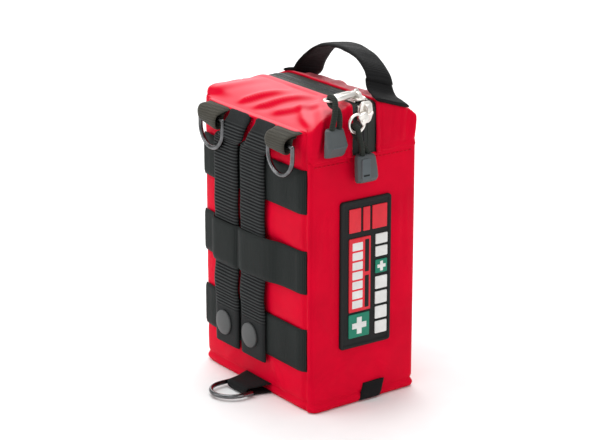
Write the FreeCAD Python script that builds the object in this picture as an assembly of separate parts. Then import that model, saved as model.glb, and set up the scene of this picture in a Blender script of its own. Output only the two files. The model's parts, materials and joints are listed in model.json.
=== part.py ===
"""Soft first aid pouch with a centre zip, webbing rows, snap straps and D-rings.

Millimetres, +Z up. The origin is the centre of the base's rest face. X runs across the
wide webbing side, the label side faces +X and the webbing side faces -Y.
"""
import FreeCAD
import Part
import math
import os

Vec = FreeCAD.Vector

# ---- driving dimensions -------------------------------------------------------------
WIDTH = 108.0            # X, across the webbing side
DEPTH = 75.0             # Y, across the label side
WALL_TOP = 165.0         # height of the wall's top seam
WALL = 3.0               # padded fabric wall
CORNER_R = 6.0           # upright corners of the pouch
SIDE_SEAM_Z = 147.5      # seam across each narrow side, where the zip ends
CROWN_RISE = 13.0        # how far the top bulges above the wall's top seam
FLAP_GAP = 0.3           # clear gap under each flap's edge

TAPE_HALF = 8.2          # zip tape shown each side of its centre line
TAPE_T = 1.2
TAPE_SINK = 0.6          # the tape lies this far under the fabric's face
CHAIN_GAP = 0.7          # half the slit between the two tapes
COIL_HALF = 3.0
COIL_T = 1.8

WEBBING = 25.4           # one inch webbing of the rows
ROW_T = 1.6
ROW_Z = {"upper": 117.5, "middle": 70.5, "lower": 24.0}
STRAP_W = 24.0
STRAP_T = 2.4
STRAP_X = {"left": -24.5, "right": 2.5}
STRAP_GAP = 0.3          # between a strap and the row under it
STRAP_LEAN = {"left": 12.0, "right": 11.3}   # how far the sewn tops lean to the label side
LEAN_Z = (138.0, 154.0)  # where they lean
STRAP_FOOT_Z = 18.8
TIP_TOP_Z = 67.5         # the loose strap tip starts below the middle row
SNAP_Z = 32.5
SNAP_SHIFT = -2.0        # the snaps sit a little off the strap's middle
SNAP_CAP_R = 7.5
SNAP_CAP_T = 2.2

RING_WIRE_R = 1.3
RING_HALF_W = 11.8       # centre line of the wire, each side of the middle
RING_DROP = 6.2          # straight stretch before the round of the D
RING_X = {"left": -34.5, "right": 35.0}
RING_LOOP_W = 18.0
RING_BAR_Y = -DEPTH / 2 - 6.3
RING_BAR_Z = WALL_TOP - 8.6
BASE_RING_X = 3.0
BASE_RING_Y = -DEPTH / 2 - 13.0
BASE_RING_Z = 2.8
BORE_CLEAR = 0.35

HANDLE_X = 9.0           # the handle sits nearer the label side
HANDLE_Y = 19.0
HANDLE_W = 20.0
HANDLE_T = 2.4
HANDLE_RISE = 34.4       # top of the handle above the wall's top seam
ANCHOR_LEN = 12.0
ANCHOR_W = 23.0
ANCHOR_T = 1.6

SLIDER_LEN = 12.5
SLIDER_W = 9.0
SLIDER_T = 1.4
UPPER_SLIDER_X = 46.0
LOWER_SLIDER_Z = 172.0
BRIDGE_R = 0.8
BRIDGE_RISE = 2.2
BRIDGE_HALF = 3.4
PULL_T = 1.4
PULL_W = 5.0
PULL_NECK_W = 2.4
PULL_NECK_LEN = 4.6
EYE_R = 2.5
EYE_RIM = 0.9
CORD_D = 3.2
GRIP_W = 13.0
GRIP_LEN = 16.5
GRIP_T = 7.0

LABEL_Y0 = -16.8
LABEL_W = 35.5
LABEL_Z0 = 34.0
LABEL_H = 88.0
LABEL_T = 1.6
PRINT_T = 0.3
# Printed areas as Y from, Y to, Z from, Z to: cross badge, panel beside it, bars and a
# smaller badge in the second column, and the band at the top.
PRINTS = [(-11.0, 3.6, 40.0, 54.2), (-11.0, 4.2, 55.6, 99.5), (7.6, 16.0, 39.5, 74.0),
          (7.6, 16.0, 76.0, 84.0), (7.6, 16.0, 86.0, 99.5), (-11.0, 15.6, 103.0, 117.0)]

CONTENT_TOP = 124.0

HALF_W = WIDTH / 2
HALF_D = DEPTH / 2
CROWN_Z = WALL_TOP + CROWN_RISE
CROWN_R = (HALF_D ** 2 + CROWN_RISE ** 2) / (2 * CROWN_RISE)
ROW_FACE = -HALF_D - ROW_T               # outer face of the upper and lower rows
STRAP_BACK = ROW_FACE - STRAP_GAP
STRAP_FACE = STRAP_BACK - STRAP_T
BAR_UPPER_Z = CROWN_Z + 1.0 + BRIDGE_RISE
BAR_LOWER_X = HALF_W + 0.3 + SLIDER_T + 2.9

# Routes of the two pull cords: from the grip, through the pull's eye and back.
CORD_UPPER = [(59.8, -26.6, 167.0), (61.5, -25.8, 175.0), (59.0, -23.4, 183.1),
              (51.0, -22.1, 184.2), (51.0, -21.9, 178.3), (57.6, -21.2, 177.9),
              (59.9, -21.0, 172.8), (59.5, -21.4, 167.0)]
CORD_LOWER = [(60.6, -6.2, 149.5), (61.6, -7.3, 155.4), (61.7, -9.4, 161.0),
              (61.5, -10.5, 166.5), (56.2, -10.5, 166.5), (56.1, -8.9, 161.2),
              (58.1, -4.2, 155.0), (59.3, -1.1, 149.5)]
UPPER_EYE = Vec(51.0, -22.0, BAR_UPPER_Z)
LOWER_EYE = Vec(BAR_LOWER_X, -10.5, 166.5)

NODES = {}


# ---- helpers --------------------------------------------------------------------------
def block(x0, x1, y0, y1, z0, z1):
    """A box from its lowest corner to its highest."""
    return Part.makeBox(x1 - x0, y1 - y0, z1 - z0, Vec(x0, y0, z0))


def rounded_block(x0, x1, y0, y1, z0, z1, radius):
    """A box with every edge rounded."""
    shape = block(x0, x1, y0, y1, z0, z1)
    return shape.makeFillet(radius, shape.Edges)


def rod(start, end, radius):
    """A round rod between two points."""
    line = end - start
    return Part.makeCylinder(radius, line.Length, start, line)


def plate_yz(points, x0, x1):
    """A flat outline in the YZ plane, pushed along X."""
    wire = Part.makePolygon([Vec(x0, y, z) for y, z in points + points[:1]])
    return Part.Face(wire).extrude(Vec(x1 - x0, 0, 0))


def together(shapes):
    """One shape from touching shapes."""
    whole = shapes[0]
    for shape in shapes[1:]:
        whole = whole.fuse(shape)
    return whole.removeSplitter()


def save(node, *solids):
    """Keep the solids of one sub-part."""
    flat = [solid for shape in solids for solid in shape.Solids]
    NODES[node] = flat[0] if len(flat) == 1 else Part.makeCompound(flat)


def crown(sink):
    """The round of the top, pulled in by sink."""
    radius = CROWN_R - sink
    return Part.makeCylinder(radius, WIDTH + 20, Vec(-HALF_W - 10, 0, CROWN_Z - CROWN_R), Vec(1, 0, 0))


def crown_z(y):
    """Height of the top's face at a distance y from the zip."""
    return CROWN_Z - CROWN_R + math.sqrt(CROWN_R ** 2 - y ** 2)


def crown_band(x0, x1, y0, y1, sink, thickness):
    """A strip of the top's round, above the wall's top seam."""
    keep = block(x0, x1, y0, y1, WALL_TOP + FLAP_GAP, CROWN_Z + 10)
    return crown(sink).cut(crown(sink + thickness)).common(keep)


def mirrored(shape, normal):
    """A copy on the other side of the middle plane."""
    return shape.mirror(Vec(0, 0, 0), normal)


def tube(route, diameter, name):
    """A round cord along straight runs joined by tangent arcs."""
    points = [Vec(*p) for p in route]
    edges = []
    here = points[0]
    radii = []
    for before, corner, after in zip(points, points[1:], points[2:]):
        back = (before - corner).normalize()
        ahead = (after - corner).normalize()
        half_turn = (math.pi - back.getAngle(ahead)) / 2
        trim = 0.45 * min((before - corner).Length, (after - corner).Length)
        radii.append(trim / math.tan(half_turn))
        enter = corner + back * trim
        leave = corner + ahead * trim
        middle = (back + ahead).normalize()
        sink = radii[-1] * (1 / math.cos(half_turn) - 1)
        edges.append(Part.LineSegment(here, enter).toShape())
        edges.append(Part.Arc(enter, corner + middle * sink, leave).toShape())
        here = leave
    edges.append(Part.LineSegment(here, points[-1]).toShape())
    path = Part.Wire(edges)
    ring = Part.makeCircle(diameter / 2, points[0], points[1] - points[0])
    solid = path.makePipeShell([Part.Wire([ring])], True, False)
    ideal = math.pi * diameter ** 2 / 4 * path.Length
    print(name, "length", round(path.Length, 1), "volume ratio", round(solid.Volume / ideal, 4),
          "radii", [round(r, 1) for r in radii])
    return solid


# ---- pouch walls ------------------------------------------------------------------------
def rounded_column(inset, z0, z1):
    """The pouch's plan, pulled in by inset, with round upright corners."""
    box = block(-HALF_W + inset, HALF_W - inset, -HALF_D + inset, HALF_D - inset, z0, z1)
    upright = [e for e in box.Edges if abs(e.Vertexes[0].Z - e.Vertexes[1].Z) > 1]
    return box.makeFillet(CORNER_R - inset, upright)


def make_walls():
    """Four walls and the base, cut from one hollow column, and the gussets beside the zip."""
    walls = rounded_column(0, WALL, WALL_TOP).cut(rounded_column(WALL, WALL, WALL_TOP))
    turn = HALF_D - CORNER_R
    save("bottom_panel", rounded_column(0, 0, WALL))
    save("back_panel", walls.common(block(-HALF_W, HALF_W, -HALF_D, -turn, 0, WALL_TOP)))
    save("front_panel", walls.common(block(-HALF_W, HALF_W, turn, HALF_D, 0, WALL_TOP)))
    lower = walls.common(block(-HALF_W, HALF_W, -turn, turn, 0, SIDE_SEAM_Z))
    save("label_side_panel", lower.common(block(0, HALF_W, -turn, turn, 0, SIDE_SEAM_Z)))
    save("plain_side_panel", lower.common(block(-HALF_W, 0, -turn, turn, 0, SIDE_SEAM_Z)))
    gusset = block(HALF_W - WALL, HALF_W, -turn, -TAPE_HALF, SIDE_SEAM_Z, WALL_TOP)
    near = [gusset, mirrored(gusset, Vec(0, 1, 0))]
    save("zip_gussets_near", *near)
    save("zip_gussets_far", *[mirrored(g, Vec(1, 0, 0)) for g in near])


# ---- top flaps and zip --------------------------------------------------------------------
def make_flaps():
    """Two halves of the domed top, each with its tape and half of the coil."""
    skirt_keep = block(HALF_W - WALL, HALF_W, -HALF_D, -TAPE_HALF, WALL_TOP + FLAP_GAP, CROWN_Z)
    skirt = crown(WALL).common(skirt_keep)
    panel = together([crown_band(-HALF_W, HALF_W, -HALF_D, -TAPE_HALF, 0, WALL),
                      skirt, mirrored(skirt, Vec(1, 0, 0))])
    face = HALF_W - TAPE_SINK
    end_keep = block(face - TAPE_T, face, -TAPE_HALF, -CHAIN_GAP, WALL_TOP + FLAP_GAP, CROWN_Z)
    end_tape = crown(TAPE_SINK + TAPE_T).common(end_keep)
    tape = together([crown_band(-face, face, -TAPE_HALF, -CHAIN_GAP, TAPE_SINK, TAPE_T),
                     end_tape, mirrored(end_tape, Vec(1, 0, 0))])
    inner = face - TAPE_T
    coil = crown_band(-inner, inner, -COIL_HALF, -CHAIN_GAP, TAPE_SINK + TAPE_T, COIL_T)
    for side, shapes in (("back", (panel, tape, coil)),
                         ("front", [mirrored(s, Vec(0, 1, 0)) for s in (panel, tape, coil)])):
        save(side + "_flap_panel", shapes[0])
        save(side + "_zip_tape", shapes[1])
        save(side + "_zip_coil", shapes[2])


def make_zip_ends():
    """The closed stretch of zip below the top seam on each narrow side, with its stop."""
    face = HALF_W - TAPE_SINK
    tape = block(face - TAPE_T, face, -TAPE_HALF, TAPE_HALF, SIDE_SEAM_Z, WALL_TOP)
    coil = block(face - TAPE_T - COIL_T, face - TAPE_T, -COIL_HALF, COIL_HALF, SIDE_SEAM_Z, WALL_TOP)
    end = together([tape, coil])
    save("zip_ends", end, mirrored(end, Vec(1, 0, 0)))


def upper_slider():
    """Slider lying on the top: a wing plate under a bridge that carries the pull."""
    x0 = UPPER_SLIDER_X - SLIDER_LEN / 2
    z0 = CROWN_Z - 0.4
    plate = block(x0, x0 + SLIDER_LEN, -SLIDER_W / 2, SLIDER_W / 2, z0, z0 + SLIDER_T)
    corners = [e for e in plate.Edges if abs(e.Vertexes[0].Z - e.Vertexes[1].Z) > 1]
    parts = [plate.makeFillet(3.0, corners)]
    for side in (-1, 1):
        x = UPPER_SLIDER_X + side * BRIDGE_HALF
        parts.append(block(x - 0.8, x + 0.8, -1.1, 1.1, z0 + SLIDER_T, BAR_UPPER_Z + BRIDGE_R))
    ends = [Vec(UPPER_SLIDER_X + side * BRIDGE_HALF, 0, BAR_UPPER_Z) for side in (-1, 1)]
    parts.append(rod(ends[0], ends[1], BRIDGE_R))
    return together(parts)


def lower_slider():
    """The same slider on the label side, just under the top's edge."""
    z0 = LOWER_SLIDER_Z - SLIDER_LEN / 2
    x0 = HALF_W + 0.3
    plate = block(x0, x0 + SLIDER_T, -SLIDER_W / 2, SLIDER_W / 2, z0, z0 + SLIDER_LEN)
    corners = [e for e in plate.Edges if abs(e.Vertexes[0].X - e.Vertexes[1].X) > 1]
    parts = [plate.makeFillet(3.0, corners)]
    for side in (-1, 1):
        z = LOWER_SLIDER_Z + side * BRIDGE_HALF
        parts.append(block(x0 + SLIDER_T, BAR_LOWER_X + BRIDGE_R, -1.1, 1.1, z - 0.8, z + 0.8))
    ends = [Vec(BAR_LOWER_X, 0, LOWER_SLIDER_Z + side * BRIDGE_HALF) for side in (-1, 1)]
    parts.append(rod(ends[0], ends[1], BRIDGE_R))
    return together(parts)


def pull(bar_middle, bar_axis, eye, normal):
    """A metal pull: a sleeve on the slider's bridge, a flat shank and an eye for the cord."""
    sleeve_half = 1.4
    along = Vec(bar_axis).normalize()
    start = bar_middle - along * sleeve_half
    sleeve = rod(start, start + along * 2 * sleeve_half, BRIDGE_R + 1.2)
    half_t = Vec(normal) * (PULL_T / 2)
    reach = (eye - bar_middle).normalize()
    across = reach.cross(normal).normalize()
    wide = across * (PULL_W / 2)
    narrow = across * (PULL_NECK_W / 2)
    near = bar_middle + reach * 1.2
    shoulder = bar_middle + reach * PULL_NECK_LEN
    corners = [near - narrow, near + narrow, shoulder + narrow, shoulder + wide, eye + wide,
               eye - wide, shoulder - wide, shoulder - narrow]
    outline = Part.makePolygon([c - half_t for c in corners + corners[:1]])
    shank = Part.Face(outline).extrude(half_t * 2)
    disc = rod(eye - half_t, eye + half_t, EYE_R + EYE_RIM)
    bore = rod(start - along, start + along * (2 * sleeve_half + 1), BRIDGE_R + 0.2)
    hole = rod(eye - half_t * 3, eye + half_t * 3, EYE_R)
    return together([sleeve, shank, disc]).cut(bore).cut(hole)


def grip(top, lean):
    """Moulded grip that tapers towards its lower end; top is the middle of its upper face."""
    z_low = top.z - GRIP_LEN
    sections = []
    for z, width, thick, shift in ((top.z, GRIP_W - 2.0, GRIP_T, 0.0),
                                   (top.z - 5.0, GRIP_W, GRIP_T, lean * 0.3),
                                   (z_low, GRIP_W - 1.0, GRIP_T - 3.0, lean)):
        x0 = top.x - thick / 2
        x1 = top.x + thick / 2
        y0 = top.y - width / 2 + shift
        y1 = top.y + width / 2 + shift
        corners = [Vec(x0, y0, z), Vec(x1, y0, z), Vec(x1, y1, z), Vec(x0, y1, z)]
        sections.append(Part.makePolygon(corners + corners[:1]))
    return Part.makeLoft(sections, True, True)


def make_sliders():
    """Both sliders with their pulls, cords and grips."""
    save("slider_upper", upper_slider())
    save("slider_lower", lower_slider())
    save("pull_upper", pull(Vec(UPPER_SLIDER_X, 0, BAR_UPPER_Z), Vec(1, 0, 0), UPPER_EYE, Vec(0, 0, 1)))
    save("pull_lower", pull(Vec(BAR_LOWER_X, 0, LOWER_SLIDER_Z), Vec(0, 0, 1), LOWER_EYE, Vec(1, 0, 0)))
    save("cord_upper", tube(CORD_UPPER, CORD_D, "cord_upper"))
    save("cord_lower", tube(CORD_LOWER, CORD_D, "cord_lower"))
    for name, route, lean in (("grip_upper", CORD_UPPER, 0.6), ("grip_lower", CORD_LOWER, 1.2)):
        ends = [Vec(*route[0]), Vec(*route[-1])]
        save(name, grip((ends[0] + ends[1]) * 0.5, lean))


# ---- webbing side ---------------------------------------------------------------------------
def make_rows():
    """Three rows of webbing. The middle row steps out over the two straps."""
    reach = HALF_W - 1.5
    for name in ("upper", "lower"):
        z0 = ROW_Z[name]
        save("molle_row_" + name, block(-reach, reach, ROW_FACE, -HALF_D, z0, z0 + WEBBING))
    step_in = STRAP_FACE - STRAP_GAP
    left = STRAP_X["left"] - STRAP_W / 2 - 0.6
    right = STRAP_X["right"] + STRAP_W / 2 + 0.6
    ramp = 5.0
    back = [(-reach, -HALF_D), (left - ramp, -HALF_D), (left, step_in),
            (right, step_in), (right + ramp, -HALF_D), (reach, -HALF_D)]
    front = [(x, y - ROW_T) for x, y in reversed(back)]
    outline = back + front
    z0 = ROW_Z["middle"]
    wire = Part.makePolygon([Vec(x, y, z0) for x, y in outline + outline[:1]])
    save("molle_row_middle", Part.Face(wire).extrude(Vec(0, 0, WEBBING)))


def make_straps():
    """Two upright straps: a fixed length, and a loose tip that snaps to the lower row."""
    for side, x in STRAP_X.items():
        x0 = x - STRAP_W / 2
        x1 = x + STRAP_W / 2
        profile = [(-HALF_D, WALL_TOP - 0.4), (STRAP_FACE + 0.8, WALL_TOP - 0.4),
                   (STRAP_FACE, WALL_TOP - 3.0), (STRAP_FACE, TIP_TOP_Z + 2.8),
                   (STRAP_BACK, TIP_TOP_Z + 2.8), (STRAP_BACK, WALL_TOP - 6.0),
                   (-HALF_D, WALL_TOP - 3.0)]
        low, high = LEAN_Z
        lean = STRAP_LEAN[side]
        outline = [(x0, TIP_TOP_Z), (x1, TIP_TOP_Z), (x1, low), (x1 + lean, high),
                   (x1 + lean, WALL_TOP), (x0 + lean, WALL_TOP), (x0 + lean, high), (x0, low)]
        front = Part.Face(Part.makePolygon([Vec(px, -HALF_D, pz) for px, pz in outline + outline[:1]]))
        leaning = front.extrude(Vec(0, STRAP_FACE + HALF_D - 1.0, 0))
        save("strap_" + side, plate_yz(profile, x0, x1 + lean).common(leaning))
        snap_x = x + SNAP_SHIFT
        socket_r = 5.0
        at = Vec(snap_x, STRAP_BACK, SNAP_Z)
        outward = Vec(0, -1, 0)
        tip = block(x0, x1, STRAP_FACE, STRAP_BACK, STRAP_FOOT_Z, TIP_TOP_Z)
        tip = tip.cut(Part.makeCylinder(socket_r, STRAP_T, at, outward))
        save("strap_tip_" + side, tip)
        socket = Part.makeCylinder(socket_r, STRAP_T, at, outward)
        save("snap_socket_" + side, socket.cut(Part.makeCylinder(2.3, STRAP_T - 0.4, at, outward)))
        face = Vec(snap_x, STRAP_FACE, SNAP_Z)
        cap = Part.makeCylinder(SNAP_CAP_R, SNAP_CAP_T, face, outward)
        rim = [e for e in cap.Edges if abs(e.CenterOfMass.y - (STRAP_FACE - SNAP_CAP_T)) < 0.01]
        save("snap_cap_" + side, cap.makeFillet(1.4, rim))
    studs = []
    for x in STRAP_X.values():
        studs.append(Part.makeCylinder(1.9, 1.9, Vec(x + SNAP_SHIFT, ROW_FACE, SNAP_Z), Vec(0, -1, 0)))
    save("snap_studs", *studs)


def d_ring(middle, drop_axis):
    """A D of round wire: a straight bar along X and a round bow along drop_axis."""
    drop = Vec(drop_axis)
    across = Vec(1, 0, 0)
    left = middle - across * RING_HALF_W
    right = middle + across * RING_HALF_W
    low_left = left + drop * RING_DROP
    low_right = right + drop * RING_DROP
    bottom = middle + drop * (RING_DROP + RING_HALF_W)
    bow = Part.Wire([Part.LineSegment(left, low_left).toShape(),
                     Part.Arc(low_left, bottom, low_right).toShape(),
                     Part.LineSegment(low_right, right).toShape()])
    section = Part.Wire([Part.makeCircle(RING_WIRE_R, left, drop)])
    curve = bow.makePipeShell([section], True, False)
    knuckles = [Part.makeSphere(RING_WIRE_R, p) for p in (left, right)]
    return together([curve, rod(left, right, RING_WIRE_R)] + knuckles)


def make_rings():
    """Three D-rings, each held in a folded webbing loop."""
    bore_r = RING_WIRE_R + BORE_CLEAR
    for side, x in RING_X.items():
        profile = [(-HALF_D, WALL_TOP - 0.4), (-HALF_D - 6.0, WALL_TOP - 2.6),
                   (-HALF_D - 8.8, WALL_TOP - 5.0), (-HALF_D - 9.2, WALL_TOP - 9.0),
                   (-HALF_D - 7.6, WALL_TOP - 11.4), (-HALF_D - 5.0, WALL_TOP - 11.4),
                   (-HALF_D - 3.4, WALL_TOP - 9.0), (-HALF_D - 3.4, WALL_TOP - 7.0),
                   (-HALF_D, WALL_TOP - 4.0)]
        loop = plate_yz(profile, x - RING_LOOP_W / 2, x + RING_LOOP_W / 2)
        middle = Vec(x, RING_BAR_Y, RING_BAR_Z)
        bore = rod(middle - Vec(RING_LOOP_W, 0, 0), middle + Vec(RING_LOOP_W, 0, 0), bore_r)
        save("ring_loop_" + side, loop.cut(bore))
        save("d_ring_" + side, d_ring(middle, (0, 0, -1)))
    nose = BASE_RING_Y - 3.1
    profile = [(-HALF_D, 0.3), (nose + 0.8, 0.3), (nose, 2.8), (nose + 0.8, 5.3), (-HALF_D, 6.5)]
    loop = plate_yz(profile, BASE_RING_X - RING_LOOP_W / 2, BASE_RING_X + RING_LOOP_W / 2)
    middle = Vec(BASE_RING_X, BASE_RING_Y, BASE_RING_Z)
    bore = rod(middle - Vec(RING_LOOP_W, 0, 0), middle + Vec(RING_LOOP_W, 0, 0), bore_r)
    save("ring_loop_base", loop.cut(bore))
    save("d_ring_base", d_ring(middle, (0, -1, 0)))


# ---- handle, label and tab ----------------------------------------------------------------------
def handle_line(inset):
    """Points of the handle's arch in the XZ plane, pulled in by inset."""
    half = [(33.8, 16.6), (32.8, 20.5), (28.0, 26.8), (20.5, 31.2), (11.0, HANDLE_RISE - 0.7)]
    rising = [(-x + inset, WALL_TOP + z - inset * (z > 17)) for x, z in half]
    falling = [(-x, z) for x, z in reversed(rising)]
    return rising + [(0.0, WALL_TOP + HANDLE_RISE - inset)] + falling


def make_handle():
    """The webbing arch on the front half of the top, and the sewn ends that hold it."""
    y0 = HANDLE_Y - HANDLE_W / 2
    curves = []
    for inset in (0.0, HANDLE_T):
        spline = Part.BSplineCurve()
        spline.interpolate([Vec(HANDLE_X + x, y0, z) for x, z in handle_line(inset)])
        curves.append(spline)
    outer, inner = curves
    edges = [outer.toShape(), Part.LineSegment(outer.EndPoint, inner.EndPoint).toShape(),
             inner.toShape(), Part.LineSegment(inner.StartPoint, outer.StartPoint).toShape()]
    arch = Part.Face(Part.Wire(Part.__sortEdges__(edges)))
    save("carry_handle", arch.extrude(Vec(0, HANDLE_W, 0)))
    anchor = crown(-ANCHOR_T).cut(crown(0)).common(
        block(HALF_W - ANCHOR_LEN, HALF_W, HANDLE_Y - ANCHOR_W / 2, HANDLE_Y + ANCHOR_W / 2,
              WALL_TOP, CROWN_Z + 5))
    far = mirrored(anchor, Vec(1, 0, 0))
    far.translate(Vec(2 * HANDLE_X, 0, 0))
    save("handle_anchors", anchor, far)


def make_label():
    """Rubber patch with a raised cross badge and plain bars, and the webbing tab below it."""
    face = HALF_W + LABEL_T
    patch = block(HALF_W, face, LABEL_Y0, LABEL_Y0 + LABEL_W, LABEL_Z0, LABEL_Z0 + LABEL_H)
    edges = [e for e in patch.Edges if abs(e.Vertexes[0].X - e.Vertexes[1].X) > 1]
    save("label_patch", patch.makeFillet(2.0, edges))
    save("label_print", *[block(face, face + PRINT_T, *area) for area in PRINTS])
    save("side_tab", block(HALF_W, HALF_W + ROW_T, -3.0, 12.0, 0.3, 11.0))


# ---- contents ---------------------------------------------------------------------------------------
def make_contents():
    """What the pouch carries, packed each side of a fabric divider."""
    base = WALL + 0.4
    side = HALF_W - WALL - 1.5
    front = HALF_D - WALL - 0.5
    save("divider_panel", block(-side, side, -0.75, 0.75, base, CONTENT_TOP - 4))
    save("crepe_bandages", *[Part.makeCylinder(15.6, 75.0, Vec(x, -17.2, base)) for x in (-33.5, 0.0, 33.5)])
    save("triangular_bandage", rounded_block(-46, 2, -31, -3, 80, 122, 3.0))
    save("gauze_swabs", rounded_block(5, 47, -31, -3, 80, 120, 2.0))
    save("trauma_dressing", rounded_block(-48, -2, 2, 17, base, base + 92, 3.0))
    save("foil_blanket", rounded_block(-48, -2, 18, front, base, base + 100, 3.0))
    save("adhesive_strip_box", rounded_block(1, 19.5, 2, 16, base, base + 80, 0.8))
    save("glove_pack", rounded_block(-48, -4, 3, 30, base + 101.5, CONTENT_TOP - 1, 3.0))
    core = Vec(35.5, 2.3, base + 15.2)
    across = Vec(0, 1, 0)
    save("tape_roll", Part.makeCylinder(15.0, 12.5, core, across).cut(Part.makeCylinder(8.0, 12.5, core, across)))
    ampoules = []
    for x in (29.5, 35.1, 40.7, 46.3):
        body = Part.makeCylinder(2.6, 38.0, Vec(x, 8.5, base + 32))
        ampoules.append(together([body, Part.makeCylinder(1.3, 9.0, Vec(x, 8.5, base + 70))]))
    save("saline_ampoules", *ampoules)
    make_shears(base)
    arms = [block(41, 48, y, y + 1.2, base, base + 90) for y in (27.0, 30.0)]
    save("tweezers", together(arms + [block(41, 48, 27.0, 31.2, base + 90, base + 96)]))


def make_shears(base):
    """Blunt-nosed dressing shears, points down in the front pocket."""
    x = 22.0
    blade_t = 2.0
    pin_r = 2.05
    across = Vec(0, 1, 0)
    blades = []
    for tail, y in (((x - 9, x - 3), 21.0), ((x + 3, x + 9), 23.2)):
        outline = [Vec(x - 4, y, base + 1), Vec(x + 3, y, base + 1), Vec(x + 5, y, base + 60),
                   Vec(tail[1], y, base + 84), Vec(tail[0], y, base + 84), Vec(x - 5, y, base + 60)]
        blade = Part.Face(Part.makePolygon(outline + outline[:1])).extrude(Vec(0, blade_t, 0))
        blades.append(blade.cut(Part.makeCylinder(pin_r + 0.05, 8, Vec(x, 19.0, base + 58), across)))
    save("shear_blades", *blades)
    save("shear_pivot", Part.makeCylinder(pin_r, 5.0, Vec(x, 20.7, base + 58), across))
    blade_zone = block(10, 34, 20.9, 25.3, base, base + 84.2)
    bows = []
    for bow_x, outer, inner in ((11.5, 9.0, 5.6), (32.5, 11.0, 7.0)):
        centre = Vec(bow_x, 20.5, base + 93)
        bow = Part.makeCylinder(outer, 5.5, centre, across).cut(Part.makeCylinder(inner, 5.5, centre, across))
        bows.append(bow.cut(blade_zone))
    save("shear_handles", *bows)


def main():
    """Make every sub-part and write one STEP file for each."""
    make_walls()
    make_flaps()
    make_zip_ends()
    make_sliders()
    make_rows()
    make_straps()
    make_rings()
    make_handle()
    make_label()
    make_contents()
    os.makedirs("parts", exist_ok=True)
    for name, shape in NODES.items():
        shape.exportStep("parts/" + name + ".step")
    print(len(NODES), "nodes")
    bad = [name for name, shape in NODES.items() if not shape.isValid()]
    print("invalid:", bad)


main()
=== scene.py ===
import json
import math

import bpy
import bmesh
import numpy as np
from mathutils import Matrix, Vector, noise


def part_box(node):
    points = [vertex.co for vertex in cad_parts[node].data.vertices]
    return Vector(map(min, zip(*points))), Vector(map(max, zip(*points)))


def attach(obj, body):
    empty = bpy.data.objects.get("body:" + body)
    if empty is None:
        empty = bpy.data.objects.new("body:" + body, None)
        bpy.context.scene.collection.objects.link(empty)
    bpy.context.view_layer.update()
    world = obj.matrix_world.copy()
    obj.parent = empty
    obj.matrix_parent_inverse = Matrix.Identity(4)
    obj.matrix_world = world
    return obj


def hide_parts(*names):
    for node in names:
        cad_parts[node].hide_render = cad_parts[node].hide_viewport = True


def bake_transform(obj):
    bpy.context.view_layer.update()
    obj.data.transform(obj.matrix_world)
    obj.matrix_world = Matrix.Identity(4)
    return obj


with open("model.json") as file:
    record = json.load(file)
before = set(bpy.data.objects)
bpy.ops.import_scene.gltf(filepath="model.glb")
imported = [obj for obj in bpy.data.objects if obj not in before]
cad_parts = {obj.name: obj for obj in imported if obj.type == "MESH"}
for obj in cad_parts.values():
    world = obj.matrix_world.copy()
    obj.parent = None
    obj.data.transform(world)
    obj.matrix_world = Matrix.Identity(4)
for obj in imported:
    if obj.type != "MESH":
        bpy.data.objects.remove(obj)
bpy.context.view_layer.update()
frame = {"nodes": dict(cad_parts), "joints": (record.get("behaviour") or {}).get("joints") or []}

MM = 0.001

# ---- places read from the frame, and a few named sizes ----
BACK_LOW, BACK_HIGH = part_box("back_panel")
HALF_W = BACK_HIGH.x
HALF_D = -BACK_LOW.y
WALL_TOP = BACK_HIGH.z
SEAM_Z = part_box("label_side_panel")[1].z
CORNER_R = 3 * MM                            # cloth fills the corners more than the CAD does
CROWN_RISE = 13 * MM
CROWN_Z = WALL_TOP + CROWN_RISE
CROWN_R = (HALF_D ** 2 + CROWN_RISE ** 2) / (2 * CROWN_RISE)
TAPE_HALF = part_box("front_zip_tape")[1].y
FLAT_X = HALF_W - CORNER_R
FLAT_Y = HALF_D - CORNER_R
CLOTH = 2.2 * MM
SIDE_SEAM_X = 50 * MM                        # the label side's cloth wraps this near corner
ROWS = {n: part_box("molle_row_" + n) for n in ("upper", "middle", "lower")}
STRAPS = {s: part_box("strap_tip_" + s) for s in ("left", "right")}
STRAP_Y = (STRAPS["left"][0].y + STRAPS["left"][1].y) / 2
LABEL_LOW, LABEL_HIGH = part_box("label_patch")
FEET_LOW, FEET_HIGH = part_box("handle_anchors")
GRIP_ROOM_Z = 124 * MM                       # above this the label side stays flat, clear of the grip
PIVOTS = {j["name"]: Vector(j["pos_m"]) for j in frame["joints"] if "pos_m" in j}
BAND_SCALE = 0.31831                         # a wave texture's scale when its bands lie about 1 m apart
MATERIALS = {}                               # filled in by make_materials


def middle_of(low, high):
    """Centre of a box."""
    return (low + high) / 2


def crown_z(y):
    """Height of the domed top at a distance y from the zip."""
    return CROWN_Z - CROWN_R + math.sqrt(max(CROWN_R ** 2 - y * y, 0))


def ramp(value, low, high):
    """0 below low, 1 above high and smooth between."""
    t = min(max((value - low) / (high - low), 0.0), 1.0)
    return t * t * (3 - 2 * t)


def bump(value, centre, width):
    """A smooth hump of height 1."""
    return math.exp(-((value - centre) / width) ** 2)


def sag(x, y):
    """How far the stuffed top sinks towards its far end, most of all along the zip."""
    slope = 0.5 * ramp(-x, 26 * MM, 57 * MM)
    return (crown_z(y) - WALL_TOP) * slope + 3.6 * MM * ramp(-x, 32 * MM, 48 * MM) * bump(y, 0, 9 * MM)


def settle(piece):
    """Lets the upper part of a piece sink with the top."""
    for vertex in piece.data.vertices:
        x, y, z = vertex.co
        vertex.co.z -= sag(x, y) * ramp(z, SEAM_Z, crown_z(y) - 1 * MM)
    piece.data.update()
    return piece


# ---- mesh helpers ----
def linked(name, data):
    """A new object in the scene."""
    piece = bpy.data.objects.new(name, data)
    bpy.context.scene.collection.objects.link(piece)
    return piece


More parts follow.
